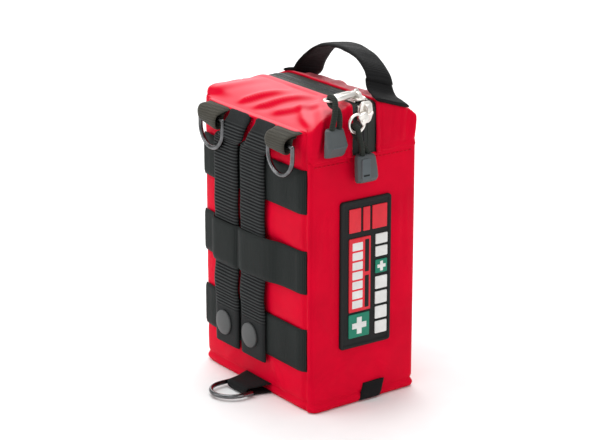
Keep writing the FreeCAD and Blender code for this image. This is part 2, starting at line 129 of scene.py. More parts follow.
def shifted(place, *offsets):
    """Points at offsets in millimetres from a place; a short offset moves its last coordinates."""
    full = [(0,) * (len(place) - len(offset)) + offset for offset in offsets]
    return [tuple(c + d * MM for c, d in zip(place, offset)) for offset in full]


def make_mesh(name, verts, faces):
    """An object from points and faces, shaded smooth, normals outward."""
    mesh = bpy.data.meshes.new(name)
    mesh.from_pydata([tuple(v) for v in verts], [], faces)
    work = bmesh.new()
    work.from_mesh(mesh)
    bmesh.ops.remove_doubles(work, verts=work.verts, dist=1e-6)
    bmesh.ops.delete(work, geom=[v for v in work.verts if not v.link_faces], context="VERTS")
    bmesh.ops.recalc_face_normals(work, faces=work.faces)
    work.to_mesh(mesh)
    work.free()
    mesh.shade_smooth()
    return linked(name, mesh)


def grid_faces(rows, columns, wrap=False, closed=False):
    """Quads over rows of points; wrap joins each row's ends, closed the last row to the first."""
    faces = []
    for i in range(rows if closed else rows - 1):
        a, b = i * columns, (i + 1) % rows * columns
        for j in range(columns if wrap else columns - 1):
            k = (j + 1) % columns
            faces.append((a + j, a + k, b + k, b + j))
    return faces


def loft(name, loops, closed=False):
    """A skin over closed loops of equal length; closed joins the last loop to the first."""
    count = len(loops[0])
    faces = grid_faces(len(loops), count, True, closed)
    if not closed:
        last = (len(loops) - 1) * count
        faces += [tuple(reversed(range(count))), tuple(range(last, last + count))]
    return make_mesh(name, [p for loop in loops for p in loop], faces)


def baked(piece, *modifiers):
    """Adds modifiers given as (type, settings) and applies them."""
    for kind, settings in modifiers:
        modifier = piece.modifiers.new(kind, kind)
        for key, value in settings.items():
            setattr(modifier, key, value)
    bpy.context.view_layer.update()
    graph = bpy.context.evaluated_depsgraph_get()
    mesh = bpy.data.meshes.new_from_object(piece.evaluated_get(graph))
    piece.modifiers.clear()
    piece.data = mesh
    mesh.shade_smooth()
    return piece


def subdivide(piece, levels=2):
    return baked(piece, ("SUBSURF", {"levels": levels, "boundary_smooth": "PRESERVE_CORNERS"}))


def solid(piece, thickness):
    """Gives a skin its thickness, inward."""
    return baked(piece, ("SOLIDIFY", {"thickness": thickness, "offset": -1.0,
                                      "use_even_offset": False}))


def bevelled(piece, width, segments=2, angle=35):
    return baked(piece, ("BEVEL", {"width": width, "segments": segments,
                                   "limit_method": "ANGLE", "angle_limit": math.radians(angle)}))


def push(piece, amount):
    """Moves each vertex along its normal by amount(position, normal)."""
    mesh = piece.data
    normals = [v.normal.copy() for v in mesh.vertices]
    for vertex, normal in zip(mesh.vertices, normals):
        vertex.co += normal * amount(vertex.co, normal)
    mesh.update()
    return piece


def blunt(piece, places, reach):
    """Rounds off the mesh close to the given places."""
    work = bmesh.new()
    work.from_mesh(piece.data)
    near = [v for v in work.verts if min((v.co - place).length for place in places) < reach]
    for _ in range(5):
        bmesh.ops.smooth_vert(work, verts=near, factor=0.5, use_axis_x=True, use_axis_y=True,
                              use_axis_z=True)
    work.to_mesh(piece.data)
    work.free()
    return piece


def wrinkle(p, size, seed=0.0):
    """Soft noise from -1 to 1, with features about size metres across."""
    return noise.noise(Vector(p) / size + Vector((seed, seed * 1.7, -seed)))


def crease(p, start, end, width):
    """A ridge along a line on a face, fading at its two ends."""
    line = end - start
    t = (p - start).dot(line) / line.length_squared
    reach = math.exp(-(max(abs(t - 0.5) - 0.25, 0) / 0.28) ** 2)
    away = (p - (start + line * t)).length
    return reach * math.exp(-(away / width) ** 2)


def smooth_path(points, step):
    """Evenly spaced points on a smooth curve through rows of numbers, and how far along each is."""
    rows = np.array(points, float)
    ends = np.vstack([2 * rows[0] - rows[1], rows, 2 * rows[-1] - rows[-2]])
    fine = []
    for i in range(1, len(ends) - 2):
        p0, p1, p2, p3 = ends[i - 1:i + 3]
        for t in np.linspace(0, 1, 24, endpoint=False):
            fine.append(0.5 * ((2 * p1) + (p2 - p0) * t + (2 * p0 - 5 * p1 + 4 * p2 - p3) * t ** 2
                               + (3 * p1 - p0 - 3 * p2 + p3) * t ** 3))
    fine = np.array(fine + [rows[-1]])
    gaps = np.linalg.norm(np.diff(fine, axis=0), axis=1)
    along = np.concatenate([[0], np.cumsum(gaps)])
    marks = np.linspace(0, along[-1], max(int(round(along[-1] / step)), 2) + 1)
    return np.column_stack([np.interp(marks, along, fine[:, k]) for k in range(3)]), marks


def tangent(rows, i, closed=False):
    """Direction of a path at its row i."""
    count = len(rows)
    ahead = rows[(i + 1) % count if closed else min(i + 1, count - 1)]
    behind = rows[(i - 1) % count if closed else max(i - 1, 0)]
    return (Vector(ahead) - Vector(behind)).normalized()


def note(piece, name, values):
    """Stores one number for each point of a piece, for its material to read."""
    piece.data.attributes.new(name, "FLOAT", "POINT").data.foreach_set("value", values)


def webbing(name, points, side, width, thickness, step=0.0016, rib=0.0, pitch=0.002,
            ribbed=None, weave=0.0):
    """A flat woven strap along points. side is its width direction, or a function of the share
    of the way along, like width and ribbed (1 where ribs run across it and 0 where it is plain)."""
    rows, marks = smooth_path(points, step)
    across = np.linspace(-1, 1, 13)
    loops = []
    ridges = []
    for i, row in enumerate(rows):
        here = Vector(row)
        t = marks[i] / marks[-1]
        edge = side(t) if callable(side) else Vector(side)
        normal = tangent(rows, i).cross(edge).normalized()
        half = (width(t) if callable(width) else width) / 2
        wave = (0.5 + 0.5 * math.cos(2 * math.pi * marks[i] / pitch)) ** 0.8
        share = ribbed(t) if ribbed else 1.0
        ridges += [0.35 * (1 - share) + wave ** 2.2 * share] * (2 * len(across))
        loop = []
        for sign in (1, -1):
            for a in across[::sign]:
                body = (1 - abs(a) ** 10) ** 0.5
                lift = thickness / 2 * (0.35 + 0.65 * body) + rib * share * wave * (1 - abs(a) ** 8)
                lift += weave * noise.noise(here * 900 + edge * (a * 6)) * body
                loop.append(here + edge * (a * half) + normal * (lift * sign))
        loops.append(loop)
    piece = loft(name, loops)
    # the rib heights drive the strap material's painted highlight on the ribs and painted shade in the
    # furrows
    if len(piece.data.vertices) == len(ridges):
        note(piece, "ridge", ridges)
    return piece


def tube(name, points, radius, step=0.0006, sides=12, closed=False, shape=None):
    """A round wire along points; shape scales its radius along the way."""
    rows, marks = smooth_path(list(points) + ([points[0]] if closed else []), step)
    if closed:
        rows = rows[:-1]
    loops = []
    normal = None
    for i, row in enumerate(rows):
        along = tangent(rows, i, closed)
        if normal is None:
            normal = along.orthogonal().normalized()
        normal = (normal - along * normal.dot(along)).normalized()
        binormal = along.cross(normal)
        r = radius * (shape(marks[i]) if shape else 1.0)
        angles = [2 * math.pi * k / sides for k in range(sides)]
        loops.append([Vector(row) + normal * (r * math.cos(a)) + binormal * (r * math.sin(a))
                      for a in angles])
    return loft(name, loops, closed)


def joined(name, pieces):
    """Several meshes as one object."""
    work = bmesh.new()
    for piece in pieces:
        work.from_mesh(piece.data)
        bpy.data.objects.remove(piece)
    mesh = bpy.data.meshes.new(name)
    work.to_mesh(mesh)
    work.free()
    mesh.shade_smooth()
    return linked(name, mesh)


# ---- materials ----
class Nodes:
    """Short calls for building one material's node tree."""

    def __init__(self, name):
        self.material = bpy.data.materials.new(name)
        self.material.use_nodes = True
        self.tree = self.material.node_tree
        self.shader = self.tree.nodes["Principled BSDF"]
        self.place = self.add("TexCoord").outputs["Object"]
        MATERIALS[name] = self.material

    def add(self, kind, inputs=None, **settings):
        node = self.tree.nodes.new("ShaderNode" + kind)
        for key, value in settings.items():
            setattr(node, key, value)
        for key, value in (inputs or {}).items():
            self.put(node.inputs[key], value)
        return node

    def put(self, socket, value):
        if hasattr(value, "links"):
            self.tree.links.new(value, socket)
        else:
            socket.default_value = value

    def math(self, operation, a, b):
        return self.add("Math", {0: a, 1: b}, operation=operation).outputs[0]

    def total(self, *terms):
        """A weighted sum of (value, weight) pairs."""
        parts = [self.math("MULTIPLY", value, weight) for value, weight in terms]
        while len(parts) > 1:
            parts[:2] = [self.math("ADD", parts[0], parts[1])]
        return parts[0]

    def noise(self, scale, detail=3.0, roughness=0.55, stretch=None):
        place = self.place
        if stretch:
            place = self.add("Mapping", {"Scale": stretch, "Vector": place}).outputs["Vector"]
        inputs = {"Scale": scale, "Detail": detail, "Roughness": roughness, "Vector": place}
        return self.add("TexNoise", inputs).outputs["Fac"]

    def threads(self, axis, pitch, wobble=0.0):
        """Bands across one axis, about a thread's pitch apart."""
        inputs = {"Scale": BAND_SCALE / pitch, "Distortion": wobble, "Detail": 1.0, "Detail Scale": 2.0,
                  "Vector": self.place}
        return self.add("TexWave", inputs, wave_type="BANDS", bands_direction=axis,
                        wave_profile="SIN").outputs["Fac"]

    def noted(self, name):
        """The number stored on each point under a name."""
        return self.add("Attribute", attribute_type="GEOMETRY", attribute_name=name).outputs["Fac"]

    def ramp(self, value, stops):
        node = self.add("ValToRGB", {"Fac": value})
        slots = node.color_ramp.elements
        for slot, (position, colour) in ((slots[0], stops[0]), (slots[1], stops[-1])):
            slot.position = position
            slot.color = (*colour, 1)
        for position, colour in stops[1:-1]:
            slots.new(position).color = (*colour, 1)
        return node.outputs["Color"]

    def range(self, value, low, high):
        return self.add("MapRange", {"To Min": low, "To Max": high, "Value": value}).outputs["Result"]

    def mix(self, factor, first, second):
        return self.add("Mix", {0: factor, 6: first, 7: (*second, 1)}, data_type="RGBA").outputs[2]

    def relief(self, height, strength, distance):
        node = self.add("Bump", {"Strength": strength, "Distance": distance, "Height": height})
        self.put(self.shader.inputs["Normal"], node.outputs["Normal"])

    def finish(self, **values):
        for key, value in values.items():
            self.put(self.shader.inputs[key.replace("_", " ")], value)
        return self.material


def tones(colour, *stops):
    """Ramp stops of one colour from (position, brightness) pairs."""
    return [(position, tuple(min(c * factor, 1.0) for c in colour)) for position, factor in stops]


def cloth(name, colour, pitch, depth=0.00012, tint=(1.0, 0.6, 0.66), painted_top_highlight=None):
    """Plain woven cloth: crossing threads on every face, soft patches, a little sheen and, when given a
    second colour, a painted highlight that pales its upward faces.
    """
    n = Nodes(name)
    x, y, z = [n.threads(axis, pitch, 0.6) for axis in "XYZ"]
    grid = n.math("ADD", n.math("ADD", x, y), z)
    patches = n.noise(38.0, 4.0)
    fibre = n.noise(1500.0, 2.0)
    base = n.ramp(n.total((grid, 0.05), (patches, 0.85), (fibre, 0.14)),
                  tones(colour, (0.35, 0.86), (0.62, 1), (0.9, 1.14)))
    # painted highlight: faces that look up are paled towards the given colour
    if painted_top_highlight:
        base = n.mix(n.noted("painted_top_highlight"), base, painted_top_highlight)
    n.relief(n.total((grid, 0.3), (fibre, 0.5)), 0.55, depth)
    n.finish(Base_Color=base, Roughness=n.range(patches, 0.44, 0.58), Sheen_Weight=0.08,
             Sheen_Roughness=0.22, Sheen_Tint=(*tint, 1.0), Specular_IOR_Level=0.04)


def woven(name, colour, across, pitch, along="X", roughness=0.6, sheen=0.03, contrast=0.5):
    """Webbing: ribs over one axis, fine threads over another and worn lighter fibres."""
    n = Nodes(name)
    ribs = n.threads(across, pitch, 0.8)
    yarn = n.threads(along, pitch * 0.55, 1.2)
    fuzz = n.noise(1100.0, 3.0)
    patches = n.noise(60.0, 4.0)
    base = n.ramp(n.total((ribs, contrast * 0.5), (yarn, 0.16), (fuzz, 0.3), (patches, 0.25)),
                  tones(colour, (0.25, 0.6), (0.6, 1), (0.95, 1.9)))
    n.relief(n.total((ribs, 0.8), (yarn, 0.35), (fuzz, 0.35)), 0.7, 0.00018)
    n.finish(Base_Color=base, Roughness=n.range(patches, roughness - 0.08, roughness + 0.1),
             Sheen_Weight=sheen, Sheen_Roughness=0.4, Specular_IOR_Level=0.12)


def ribbed_webbing(name, dark, light):
    """Heavy webbing with a painted highlight on its ribs and painted shade in its furrows, ramped by the
    rib height noted on each point.
    """
    n = Nodes(name)
    yarn = n.threads("X", 0.9 * MM, 1.5)
    fuzz = n.noise(1300.0, 3.0)
    patches = n.noise(70.0, 3.0)
    worn = n.total((fuzz, 0.35), (patches, 0.35))
    between = tuple((a + b) / 2 for a, b in zip(dark, light))
    # painted shade in the furrows and painted highlight on the ribs
    base = n.ramp(n.total((n.noted("ridge"), 0.62), (worn, 0.55)),
                  [(0.30, dark), (0.62, between), (0.98, light)])
    n.relief(n.total((yarn, 0.5), (fuzz, 0.5)), 0.7, 0.00018)
    n.finish(Base_Color=base, Roughness=n.range(patches, 0.55, 0.75), Sheen_Weight=0.02,
             Sheen_Roughness=0.4, Specular_IOR_Level=0.14)


def metal(name, colour, roughness, scratch=0.12, grime=0.25):
    """Plated metal with fine scratches and dirt in soft patches."""
    n = Nodes(name)
    fine = n.noise(900.0, 5.0, 0.7, stretch=(1, 6, 1))
    base = n.ramp(n.noise(240.0, 4.0), tones(colour, (0.3, 1 - grime), (0.62, 1), (0.9, 1.08)))
    n.relief(fine, scratch, 0.00006)
    n.finish(Base_Color=base, Metallic=1.0, Roughness=n.range(fine, roughness * 0.7, roughness * 1.4))


def plastic(name, colour, roughness, grain=0.25, specular=0.4, grain_size=1600.0):
    """Moulded plastic or rubber with a fine grain and scuffed patches."""
    n = Nodes(name)
    patches = n.noise(120.0, 5.0, 0.65)
    base = n.ramp(patches, tones(colour, (0.3, 0.88), (0.6, 1), (0.85, 1.18)))
    n.relief(n.noise(grain_size, 3.0), grain, 0.00008)
    n.finish(Base_Color=base, Roughness=n.range(patches, roughness - 0.07, roughness + 0.1),
             Specular_IOR_Level=specular)


def film(name, colour, roughness, metallic=0.0):
    """Thin crinkled film or foil."""
    n = Nodes(name)
    folds = n.noise(160.0, 6.0, 0.7)
    n.relief(folds, 0.6, 0.0012)
    n.finish(Base_Color=n.ramp(folds, tones(colour, (0.3, 0.8), (0.6, 1), (0.85, 1.15))),
             Metallic=metallic, Roughness=roughness, Specular_IOR_Level=0.5)


def make_materials():
    # the second colour is a painted highlight on the cloth's upward faces
    cloth("red_nylon", (0.68, 0.0006, 0.023), 0.55 * MM, painted_top_highlight=(0.74, 0.145, 0.175))
    woven("row_webbing", (0.0165, 0.020, 0.019), "X", 1.0 * MM, "Z")
    # painted furrow shade and painted rib highlight colours
    ribbed_webbing("strap_webbing", (0.0035, 0.004, 0.0045), (0.062, 0.068, 0.068))
    woven("ring_webbing", (0.062, 0.058, 0.047), "Z", 1.3 * MM)
    woven("handle_webbing", (0.010, 0.010, 0.0105), "X", 1.1 * MM, "Y", roughness=0.7, sheen=0.02)
    woven("zip_tape", (0.052, 0.057, 0.052), "X", 0.7 * MM, "Y", roughness=0.5)
    plastic("zip_coil", (0.02, 0.02, 0.022), 0.4)
    metal("nickel", (0.92, 0.89, 0.84), 0.34, scratch=0.02, grime=0.1)
    woven("pull_cord", (0.020, 0.024, 0.020), "Z", 0.9 * MM, "Y", contrast=0.9)
    plastic("grip_plastic", (0.075, 0.086, 0.090), 0.48)
    plastic("grip_plate", (0.080, 0.098, 0.107), 0.42)
    metal("ring_metal", (0.16, 0.16, 0.165), 0.2, grime=0.5)
    plastic("snap_enamel", (0.074, 0.077, 0.077), 0.5, grain=0.1)
    metal("snap_brass", (0.30, 0.28, 0.24), 0.35)
    plastic("label_rubber", (0.011, 0.012, 0.012), 0.6, grain=0.5, specular=0.2)
    plastic("print_green", (0.0, 0.21, 0.125), 0.5, grain=0.4)
    plastic("print_white", (0.78, 0.78, 0.76), 0.5, grain=0.4)
    plastic("print_red", (0.75, 0.012, 0.03), 0.5, grain=0.4)
    cloth("stitch_red", (0.60, 0.008, 0.026), 0.3 * MM)
    cloth("lining_mesh", (0.02, 0.02, 0.022), 1.4 * MM, depth=0.0005, tint=(1, 1, 1))
    cloth("cotton_crepe", (0.72, 0.62, 0.46), 1.1 * MM, depth=0.0004, tint=(1, 1, 1))
    plastic("sterile_wrap", (0.72, 0.76, 0.80), 0.6, grain=0.6, grain_size=500.0)
    film("foil_film", (0.75, 0.73, 0.68), 0.25, metallic=1.0)
    plastic("carton", (0.74, 0.72, 0.66), 0.6, grain=0.3)
    film("glove_film", (0.06, 0.17, 0.45), 0.3)
    plastic("tape_paper", (0.80, 0.77, 0.70), 0.7, grain=0.5)
    plastic("ampoule_plastic", (0.55, 0.68, 0.76), 0.25, grain=0.1)
    metal("stainless", (0.62, 0.63, 0.64), 0.28)
    plastic("shear_plastic", (0.012, 0.012, 0.013), 0.4)


def finish_piece(piece, material, body=None, replaces=()):
    """Paints a piece, says which CAD nodes it stands for and what it rides on."""
    piece.data.materials.clear()
    piece.data.materials.append(MATERIALS[material])
    if replaces:
        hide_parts(*replaces)
    if body:
        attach(piece, body)
    return piece


# ---- camera, light and floor ----
def make_stage():
    """The camera for the main view, a pale floor and soft studio light."""
    scene = bpy.context.scene
    azimuth, elevation = math.radians(54.73), math.radians(17.57)
    distance = 1.2977
    target = Vector((-0.0080, 0.0, 0.0929))
    back = Vector((math.sin(azimuth) * math.cos(elevation),
                   -math.cos(azimuth) * math.cos(elevation), math.sin(elevation)))
    data = bpy.data.cameras.new("camera")
    data.lens = 132.5
    data.sensor_width = 36.0
    camera = linked("camera", data)
    camera.location = target + back * distance
    camera.rotation_euler = (-back).to_track_quat("-Z", "Y").to_euler()
    scene.camera = camera

    def softbox(name, place, aim, size, watts):
        light = bpy.data.lights.new(name, "AREA")
        light.shape = "RECTANGLE"
        light.size, light.size_y = size
        light.energy = watts
        lamp = linked(name, light)
        lamp.location = place
        lamp.rotation_euler = (Vector(aim) - Vector(place)).to_track_quat("-Z", "Y").to_euler()

    middle = (0, 0, 0.1)
    softbox("top_light", (-0.15, -0.1, 1.1), middle, (0.9, 0.9), 7.5)
    softbox("left_light", (-0.55, -1.1, 0.5), middle, (0.7, 0.9), 4.2)
    softbox("right_light", (1.2, 0.25, 0.45), middle, (0.6, 0.9), 2.1)
    softbox("back_light", (-1.15, 0.85, 0.6), middle, (1.2, 0.7), 5)
    softbox("floor_light", (-1.5, 1.05, 1.5), (-1.3, 0.9, 0), (1.6, 1.6), 14)
    scene.world = bpy.data.worlds.new("studio")
    scene.world.use_nodes = True
    sky = scene.world.node_tree.nodes["Background"]
    sky.inputs["Color"].default_value = (1, 1, 1, 1)
    sky.inputs["Strength"].default_value = 0.62
    half = 4.0
    floor = make_mesh("floor", [(-half, -half, 0), (half, -half, 0), (half, half, 0), (-half, half, 0)],
                      [(0, 1, 2, 3)])
    n = Nodes("floor")
    n.finish(Base_Color=n.ramp(n.noise(30.0, 2.0), [(0.3, (0.90, 0.90, 0.90)), (0.7, (0.93, 0.93, 0.93))]),
             Roughness=0.8, Specular_IOR_Level=0.1)
    floor.data.materials.append(n.material)
    scene.view_settings.view_transform = "Standard"


# ---- red fabric ----
def plan_samples(step):
    """Points round the pouch's plan: (x, y) from the back's left end, corners as arcs."""
    out = []
    corners = [(FLAT_X, -FLAT_Y), (FLAT_X, FLAT_Y), (-FLAT_X, FLAT_Y), (-FLAT_X, -FLAT_Y)]
    for i, (cx, cy) in enumerate(corners):
        x0, y0 = corners[i - 1]
        turn = math.pi / 2 * (i - 1)
        dx, dy = CORNER_R * math.cos(turn), CORNER_R * math.sin(turn)
        count = round(math.hypot(cx - x0, cy - y0) / step)
        for t in np.arange(count) / count:
            out.append((x0 + dx + (cx - x0) * t, y0 + dy + (cy - y0) * t))
        for angle in np.linspace(turn, turn + math.pi / 2, 4, endpoint=False):
            out.append((cx + CORNER_R * math.cos(angle), cy + CORNER_R * math.sin(angle)))
    return out


def row_gap_pillow(z):
    """How far the back wall puffs between the rows of webbing, from 0 to 1."""
    base_seam = 4 * MM
    edges = [base_seam, *(corner.z for n in ("lower", "middle", "upper") for corner in ROWS[n]), WALL_TOP]
    for low, high in zip(edges[0::2], edges[1::2]):
        if low < z < high:
            return math.sin(math.pi * (z - low) / (high - low)) ** 0.7
    return -0.25


def edge_turn(x):
    """How far the webbing side turns inward towards its upright edges."""
    return (1.3 if x < 0 else 0.5) * MM * ramp(abs(x), 41 * MM, HALF_W + 1 * MM)


def base_spread(x, y, z):
    """How far the label side stands out at its foot, most of all at the near corner."""
    return 3.0 * MM * (1 - ramp(z, 0, 34 * MM)) * ramp(x, 30 * MM, HALF_W) * ramp(-y, -HALF_D, HALF_D)


def under_label(y, z):
    """1 where the label lies on the cloth, fading to 0 a little way round it."""
    beside = max(LABEL_LOW.y - y, y - LABEL_HIGH.y, 0)
    above = max(LABEL_LOW.z - z, z - LABEL_HIGH.z, 0)
    return 1 - ramp(math.hypot(beside, above), 0.5 * MM, 7 * MM)


def body_relief(p, normal):
    """Outward move of the lower fabric: pillows, seams and soft creases."""
    x, y, z = p
    if normal.z < -0.7:
        return 0.0
    move = 0.75 * MM * bump(z, 2.6 * MM, 1.2 * MM) - 0.75 * MM * bump(z, 5.6 * MM, 1.0 * MM)
    height = math.sin(math.pi * min(max(z / WALL_TOP, 0), 1)) ** 0.6
    if normal.y < -0.7:
        edge = 1 - abs(x / HALF_W) ** 6
        move += 1.0 * MM * row_gap_pillow(z) * edge
        move += 0.35 * MM * wrinkle(p, 16 * MM, 2.0)
        move += 0.8 * MM * bump(x, SIDE_SEAM_X + 2.4 * MM, 1.7 * MM)
        move -= 1.3 * MM * bump(x, SIDE_SEAM_X, 1.5 * MM)
        if z < ROWS["lower"][0].z:
            move += 0.7 * MM * crease(p, Vector((-0.012, y, 0.022)), Vector((-0.030, y, 0.008)), 3 * MM)
            move += 0.7 * MM * crease(p, Vector((0.018, y, 0.024)), Vector((0.030, y, 0.006)), 3 * MM)
    elif normal.x > 0.7:
        edge = 1 - abs(y / HALF_D) ** 4
        move += 0.7 * MM * height * edge
        move += 0.35 * MM * wrinkle((x, y * 2.2, z * 0.5), 20 * MM, 5.0)
        for y0, lean in ((-31, 3.0), (-24, -2.0), (24, 1.5), (31, -1.5)):
            centre = y0 * MM + lean * 0.02 * (z - 0.1)
            move += 0.55 * MM * bump(y, centre, 1.6 * MM) * ramp(z, 0.05, 0.14)
        for y0, z0, y1, z1 in ((-30, 14, -8, 26), (26, 10, 8, 24), (-33, 60, -22, 40)):
            a, b = Vector((x, y0 * MM, z0 * MM)), Vector((x, y1 * MM, z1 * MM))
            move += 0.5 * MM * crease(p, a, b, 2.6 * MM)
        move *= (1 - under_label(y, z)) * (1 - 0.9 * ramp(z, GRIP_ROOM_Z - 14 * MM, GRIP_ROOM_Z))
    else:
        reach = 1 - (abs(x / HALF_W) if abs(normal.y) > 0.7 else abs(y / HALF_D)) ** 2.5
        move += 2.3 * MM * height * reach
        move += 0.7 * MM * wrinkle((x, y, z * 0.6), 30 * MM, 9.0) * reach
    return move


def make_body():
    """The pouch below its cross seams: base and four walls as one sewn skin."""
    plan = plan_samples(5 * MM)
    levels = shifted((0, 0), (30, 0.3), (14, 0.3), (5, 0.3), (1.6, 0.3), (0.5, 0.3), (0, 0.9), (0, 1.6))
    z = 4.2 * MM
    while z < SEAM_Z - 3 * MM:
        levels.append((0.0, z))
        z += 4.6 * MM
    levels += [(0.0, SEAM_Z - 0.8 * MM), (0.0, SEAM_Z)]
    levels += [(0.0, SEAM_Z + (WALL_TOP - SEAM_Z) * i / 4) for i in range(1, 5)]
    verts, faces = [], []
    for inset, z in levels:
        for x, y in plan:
            px = x * (HALF_W - inset) / HALF_W
            py = y * (HALF_D - inset) / HALF_D
            px += base_spread(x, y, z)
            if y < 0:
                py += edge_turn(x) * ramp(-y, HALF_D - 8 * MM, HALF_D)
            verts.append((px, py, z))
    count = len(plan)
    for i in range(len(levels) - 1):
        for j in range(count):
            k = (j + 1) % count
            above = levels[i + 1][1] > SEAM_Z + 1e-6
            flat = all(abs(plan[m][0]) <= FLAT_X + 1e-6 and abs(abs(plan[m][1]) - HALF_D) < 1e-6
                       for m in (j, k))
            if not above or flat:
                faces.append((i * count + j, i * count + k, (i + 1) * count + k, (i + 1) * count + j))
    faces.append(tuple(reversed(range(count))))
    piece = make_mesh("pouch_body", verts, faces)
    subdivide(piece, 2)
    push(piece, body_relief)
    solid(piece, CLOTH)
    return finish_piece(piece, "red_nylon", "pouch",
                        ("back_panel", "front_panel", "label_side_panel", "plain_side_panel",
                         "bottom_panel"))


def under_feet(x, y):
    """1 where the handle's sewn ends press the front flap flat."""
    along = max(ramp(x, FEET_HIGH.x - 16 * MM, FEET_HIGH.x - 11 * MM),
                ramp(-x, -FEET_LOW.x - 16 * MM, -FEET_LOW.x - 11 * MM))
    return along * (1 - ramp(abs(y - (FEET_LOW.y + FEET_HIGH.y) / 2), 11 * MM, 15 * MM))


# Creases of each top flap in millimetres: start x y, end x y, height and width.
CREASES = {
    -1: [(-20, -36, 4, -18, 1.7, 2.4), (-6, -37, 26, -15, 2.0, 2.6), (14, -35, 40, -20, 1.4, 2.6),
         (52, -36, 28, -24, 1.5, 2.8), (-46, -32, -22, -16, 0.9, 3.4), (52, -26, 30, -14, 0.9, 2.6),
         (-40, -12, 0, -13, 0.7, 2.4)],
    1: [(-38, -30, -16, -12, 1.0, 3.0), (20, -34, 36, -12, 1.2, 3.0), (-8, -34, 6, -14, 0.9, 3.4),
        (50, -34, 44, -14, 0.8, 2.6)],
}


def cover_relief(side):
    """Outward move of a top flap and its gussets: hem, seams, folds and slack."""

    def relief(p, normal):
        x, y, z = p
        away = abs(y)
        on_top = ramp(normal.z, 0.3, 0.65)
        on_end = ramp(abs(normal.x), 0.4, 0.7)
        move = 0.75 * MM * bump(away, TAPE_HALF + 1.3 * MM, 1.1 * MM)
        move -= 0.55 * MM * bump(away, TAPE_HALF + 3.6 * MM, 0.6 * MM)
        flat = Vector((x, -away, 0))
        aside = Vector((4 * MM, 0, 0))
        folds = 0.8 * MM * wrinkle(p, 20 * MM, 3.0 + side) * ramp(away, TAPE_HALF, 16 * MM)
        folds += (0.9 if side < 0 else 1.6) * MM * bump(away, 25 * MM, 8 * MM)
        for x0, y0, x1, y1, height, width in CREASES[side]:
            a, b = Vector((x0 * MM, y0 * MM, 0)), Vector((x1 * MM, y1 * MM, 0))
            folds += 1.25 * height * MM * (crease(flat, a, b, width * MM)
                                           - 0.5 * crease(flat, a + aside, b + aside, width * MM))
        if side < 0:
            folds += 2.4 * MM * bump(away, 30 * MM, 6 * MM) * ramp(-x, 26 * MM, 50 * MM)
        folds *= 1 - under_feet(x, y)
        move += folds * on_top * (1 - ramp(away, HALF_D - 6 * MM, HALF_D - 1 * MM))
        upright = 0.4 * MM * wrinkle(p, 12 * MM, 8.0) + 0.35 * MM * bump(z, SEAM_Z + 0.6 * MM, 1.0 * MM)
        upright -= 0.35 * MM * bump(z, SEAM_Z + 3.4 * MM, 0.5 * MM)
        for y0, height in ((-34.0, 1.1), (-30.0, -0.9), (-26.0, 0.8), (-18.0, -0.4)):
            lean = (z - SEAM_Z) * (0.25 if side < 0 else -0.1)
            reach = ramp(z, SEAM_Z, SEAM_Z + 10 * MM) * (1.0 if x > 0 else 0.15)
            upright += height * MM * bump(-away, y0 * MM + lean, 1.6 * MM) * reach
        return move + upright * on_end

    return relief


def make_cover(name, side):
    """One domed top flap with its two gussets and the round upright corners between them.
    side is -1 at the back and 1 at the front."""
    corner = np.linspace(0, math.pi / 2, 5)
    inner = list(np.linspace(TAPE_HALF, FLAT_Y, 8)[:-1])
    lip = shifted((HALF_D, WALL_TOP), (1.3, -0.2), (2.3, -0.9), (2.3, -1.9), (0.9, -2.3))
    ys = inner + [FLAT_Y + CORNER_R * math.sin(a) for a in corner]
    half_x = [HALF_W] * len(inner) + [FLAT_X + CORNER_R * math.cos(a) for a in corner]
    across = np.linspace(-1, 1, 25)
    verts = []

    def add(x, y, z):
        if side < 0:
            y = y - edge_turn(x) * ramp(y, HALF_D - 8 * MM, HALF_D)
        verts.append((x, side * y, z))
        return len(verts) - 1

    grid = [[add(u * hx, y, crown_z(y)) for u in across] for y, hx in zip(ys, half_x)]
    for y, z in lip:
        grid.append([add(u * half_x[-1], y - 2.8 * MM * ramp(abs(u), 0.80, 1), z) for u in across])
    faces = grid_faces(len(grid), len(across))
    down = 6
    for end, column in ((1, -1), (-1, 0)):
        previous = None
        for i, (y, hx) in enumerate(zip(ys, half_x)):
            top = crown_z(y)
            line = [grid[i][column]]
            for k in range(1, down + 1):
                line.append(add(end * hx, y, top + (SEAM_Z - 0.6 * MM - top) * k / down))
            if previous:
                for k in range(down):
                    faces.append((previous[k], line[k], line[k + 1], previous[k + 1]))
            previous = line
    piece = make_mesh(name, verts, faces)
    subdivide(piece, 2)
    push(piece, cover_relief(side))
    solid(piece, CLOTH)
    blunt(piece, [Vector((end * FLAT_X, side * HALF_D, WALL_TOP)) for end in (-1, 1)], 4.5 * MM)
    mark_painted_top_highlight(piece)
    return settle(piece)


def mark_painted_top_highlight(piece):
    """Notes how far each point of the cloth faces up, as the mask of the painted highlight that pales the
    top.
    """
    note(piece, "painted_top_highlight", [ramp(v.normal.z, 0.5, 1.0) for v in piece.data.vertices])


def follow_flap(piece):
    """Bakes a piece's placement into its mesh."""
    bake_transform(piece)


def make_covers():
    for word, side in (("back", -1), ("front", 1)):
        piece = make_cover(word + "_cover", side)
        nodes = (word + "_flap_panel", "zip_gussets_near", "zip_gussets_far")
        finish_piece(piece, "red_nylon", replaces=nodes)
        follow_flap(piece)


# ---- zip ----
def zip_line(inset):
    """The zip's route in the XZ plane: up the label side, over the top and down the far side."""
    x = HALF_W - inset
    z = CROWN_Z - inset
    turn = 4.5 * MM
    half = shifted((x, 0, SEAM_Z), (-1.5,), (8,))
    half += [(x, 0, z - 12 * MM), (x, 0, z - turn), (x - turn * 0.3, 0, z - turn * 0.3),
             (x - turn, 0, z), (x - 14 * MM, 0, z), (x * 0.4, 0, z)]
    return half + [(-a, b, c) for a, b, c in reversed(half)]


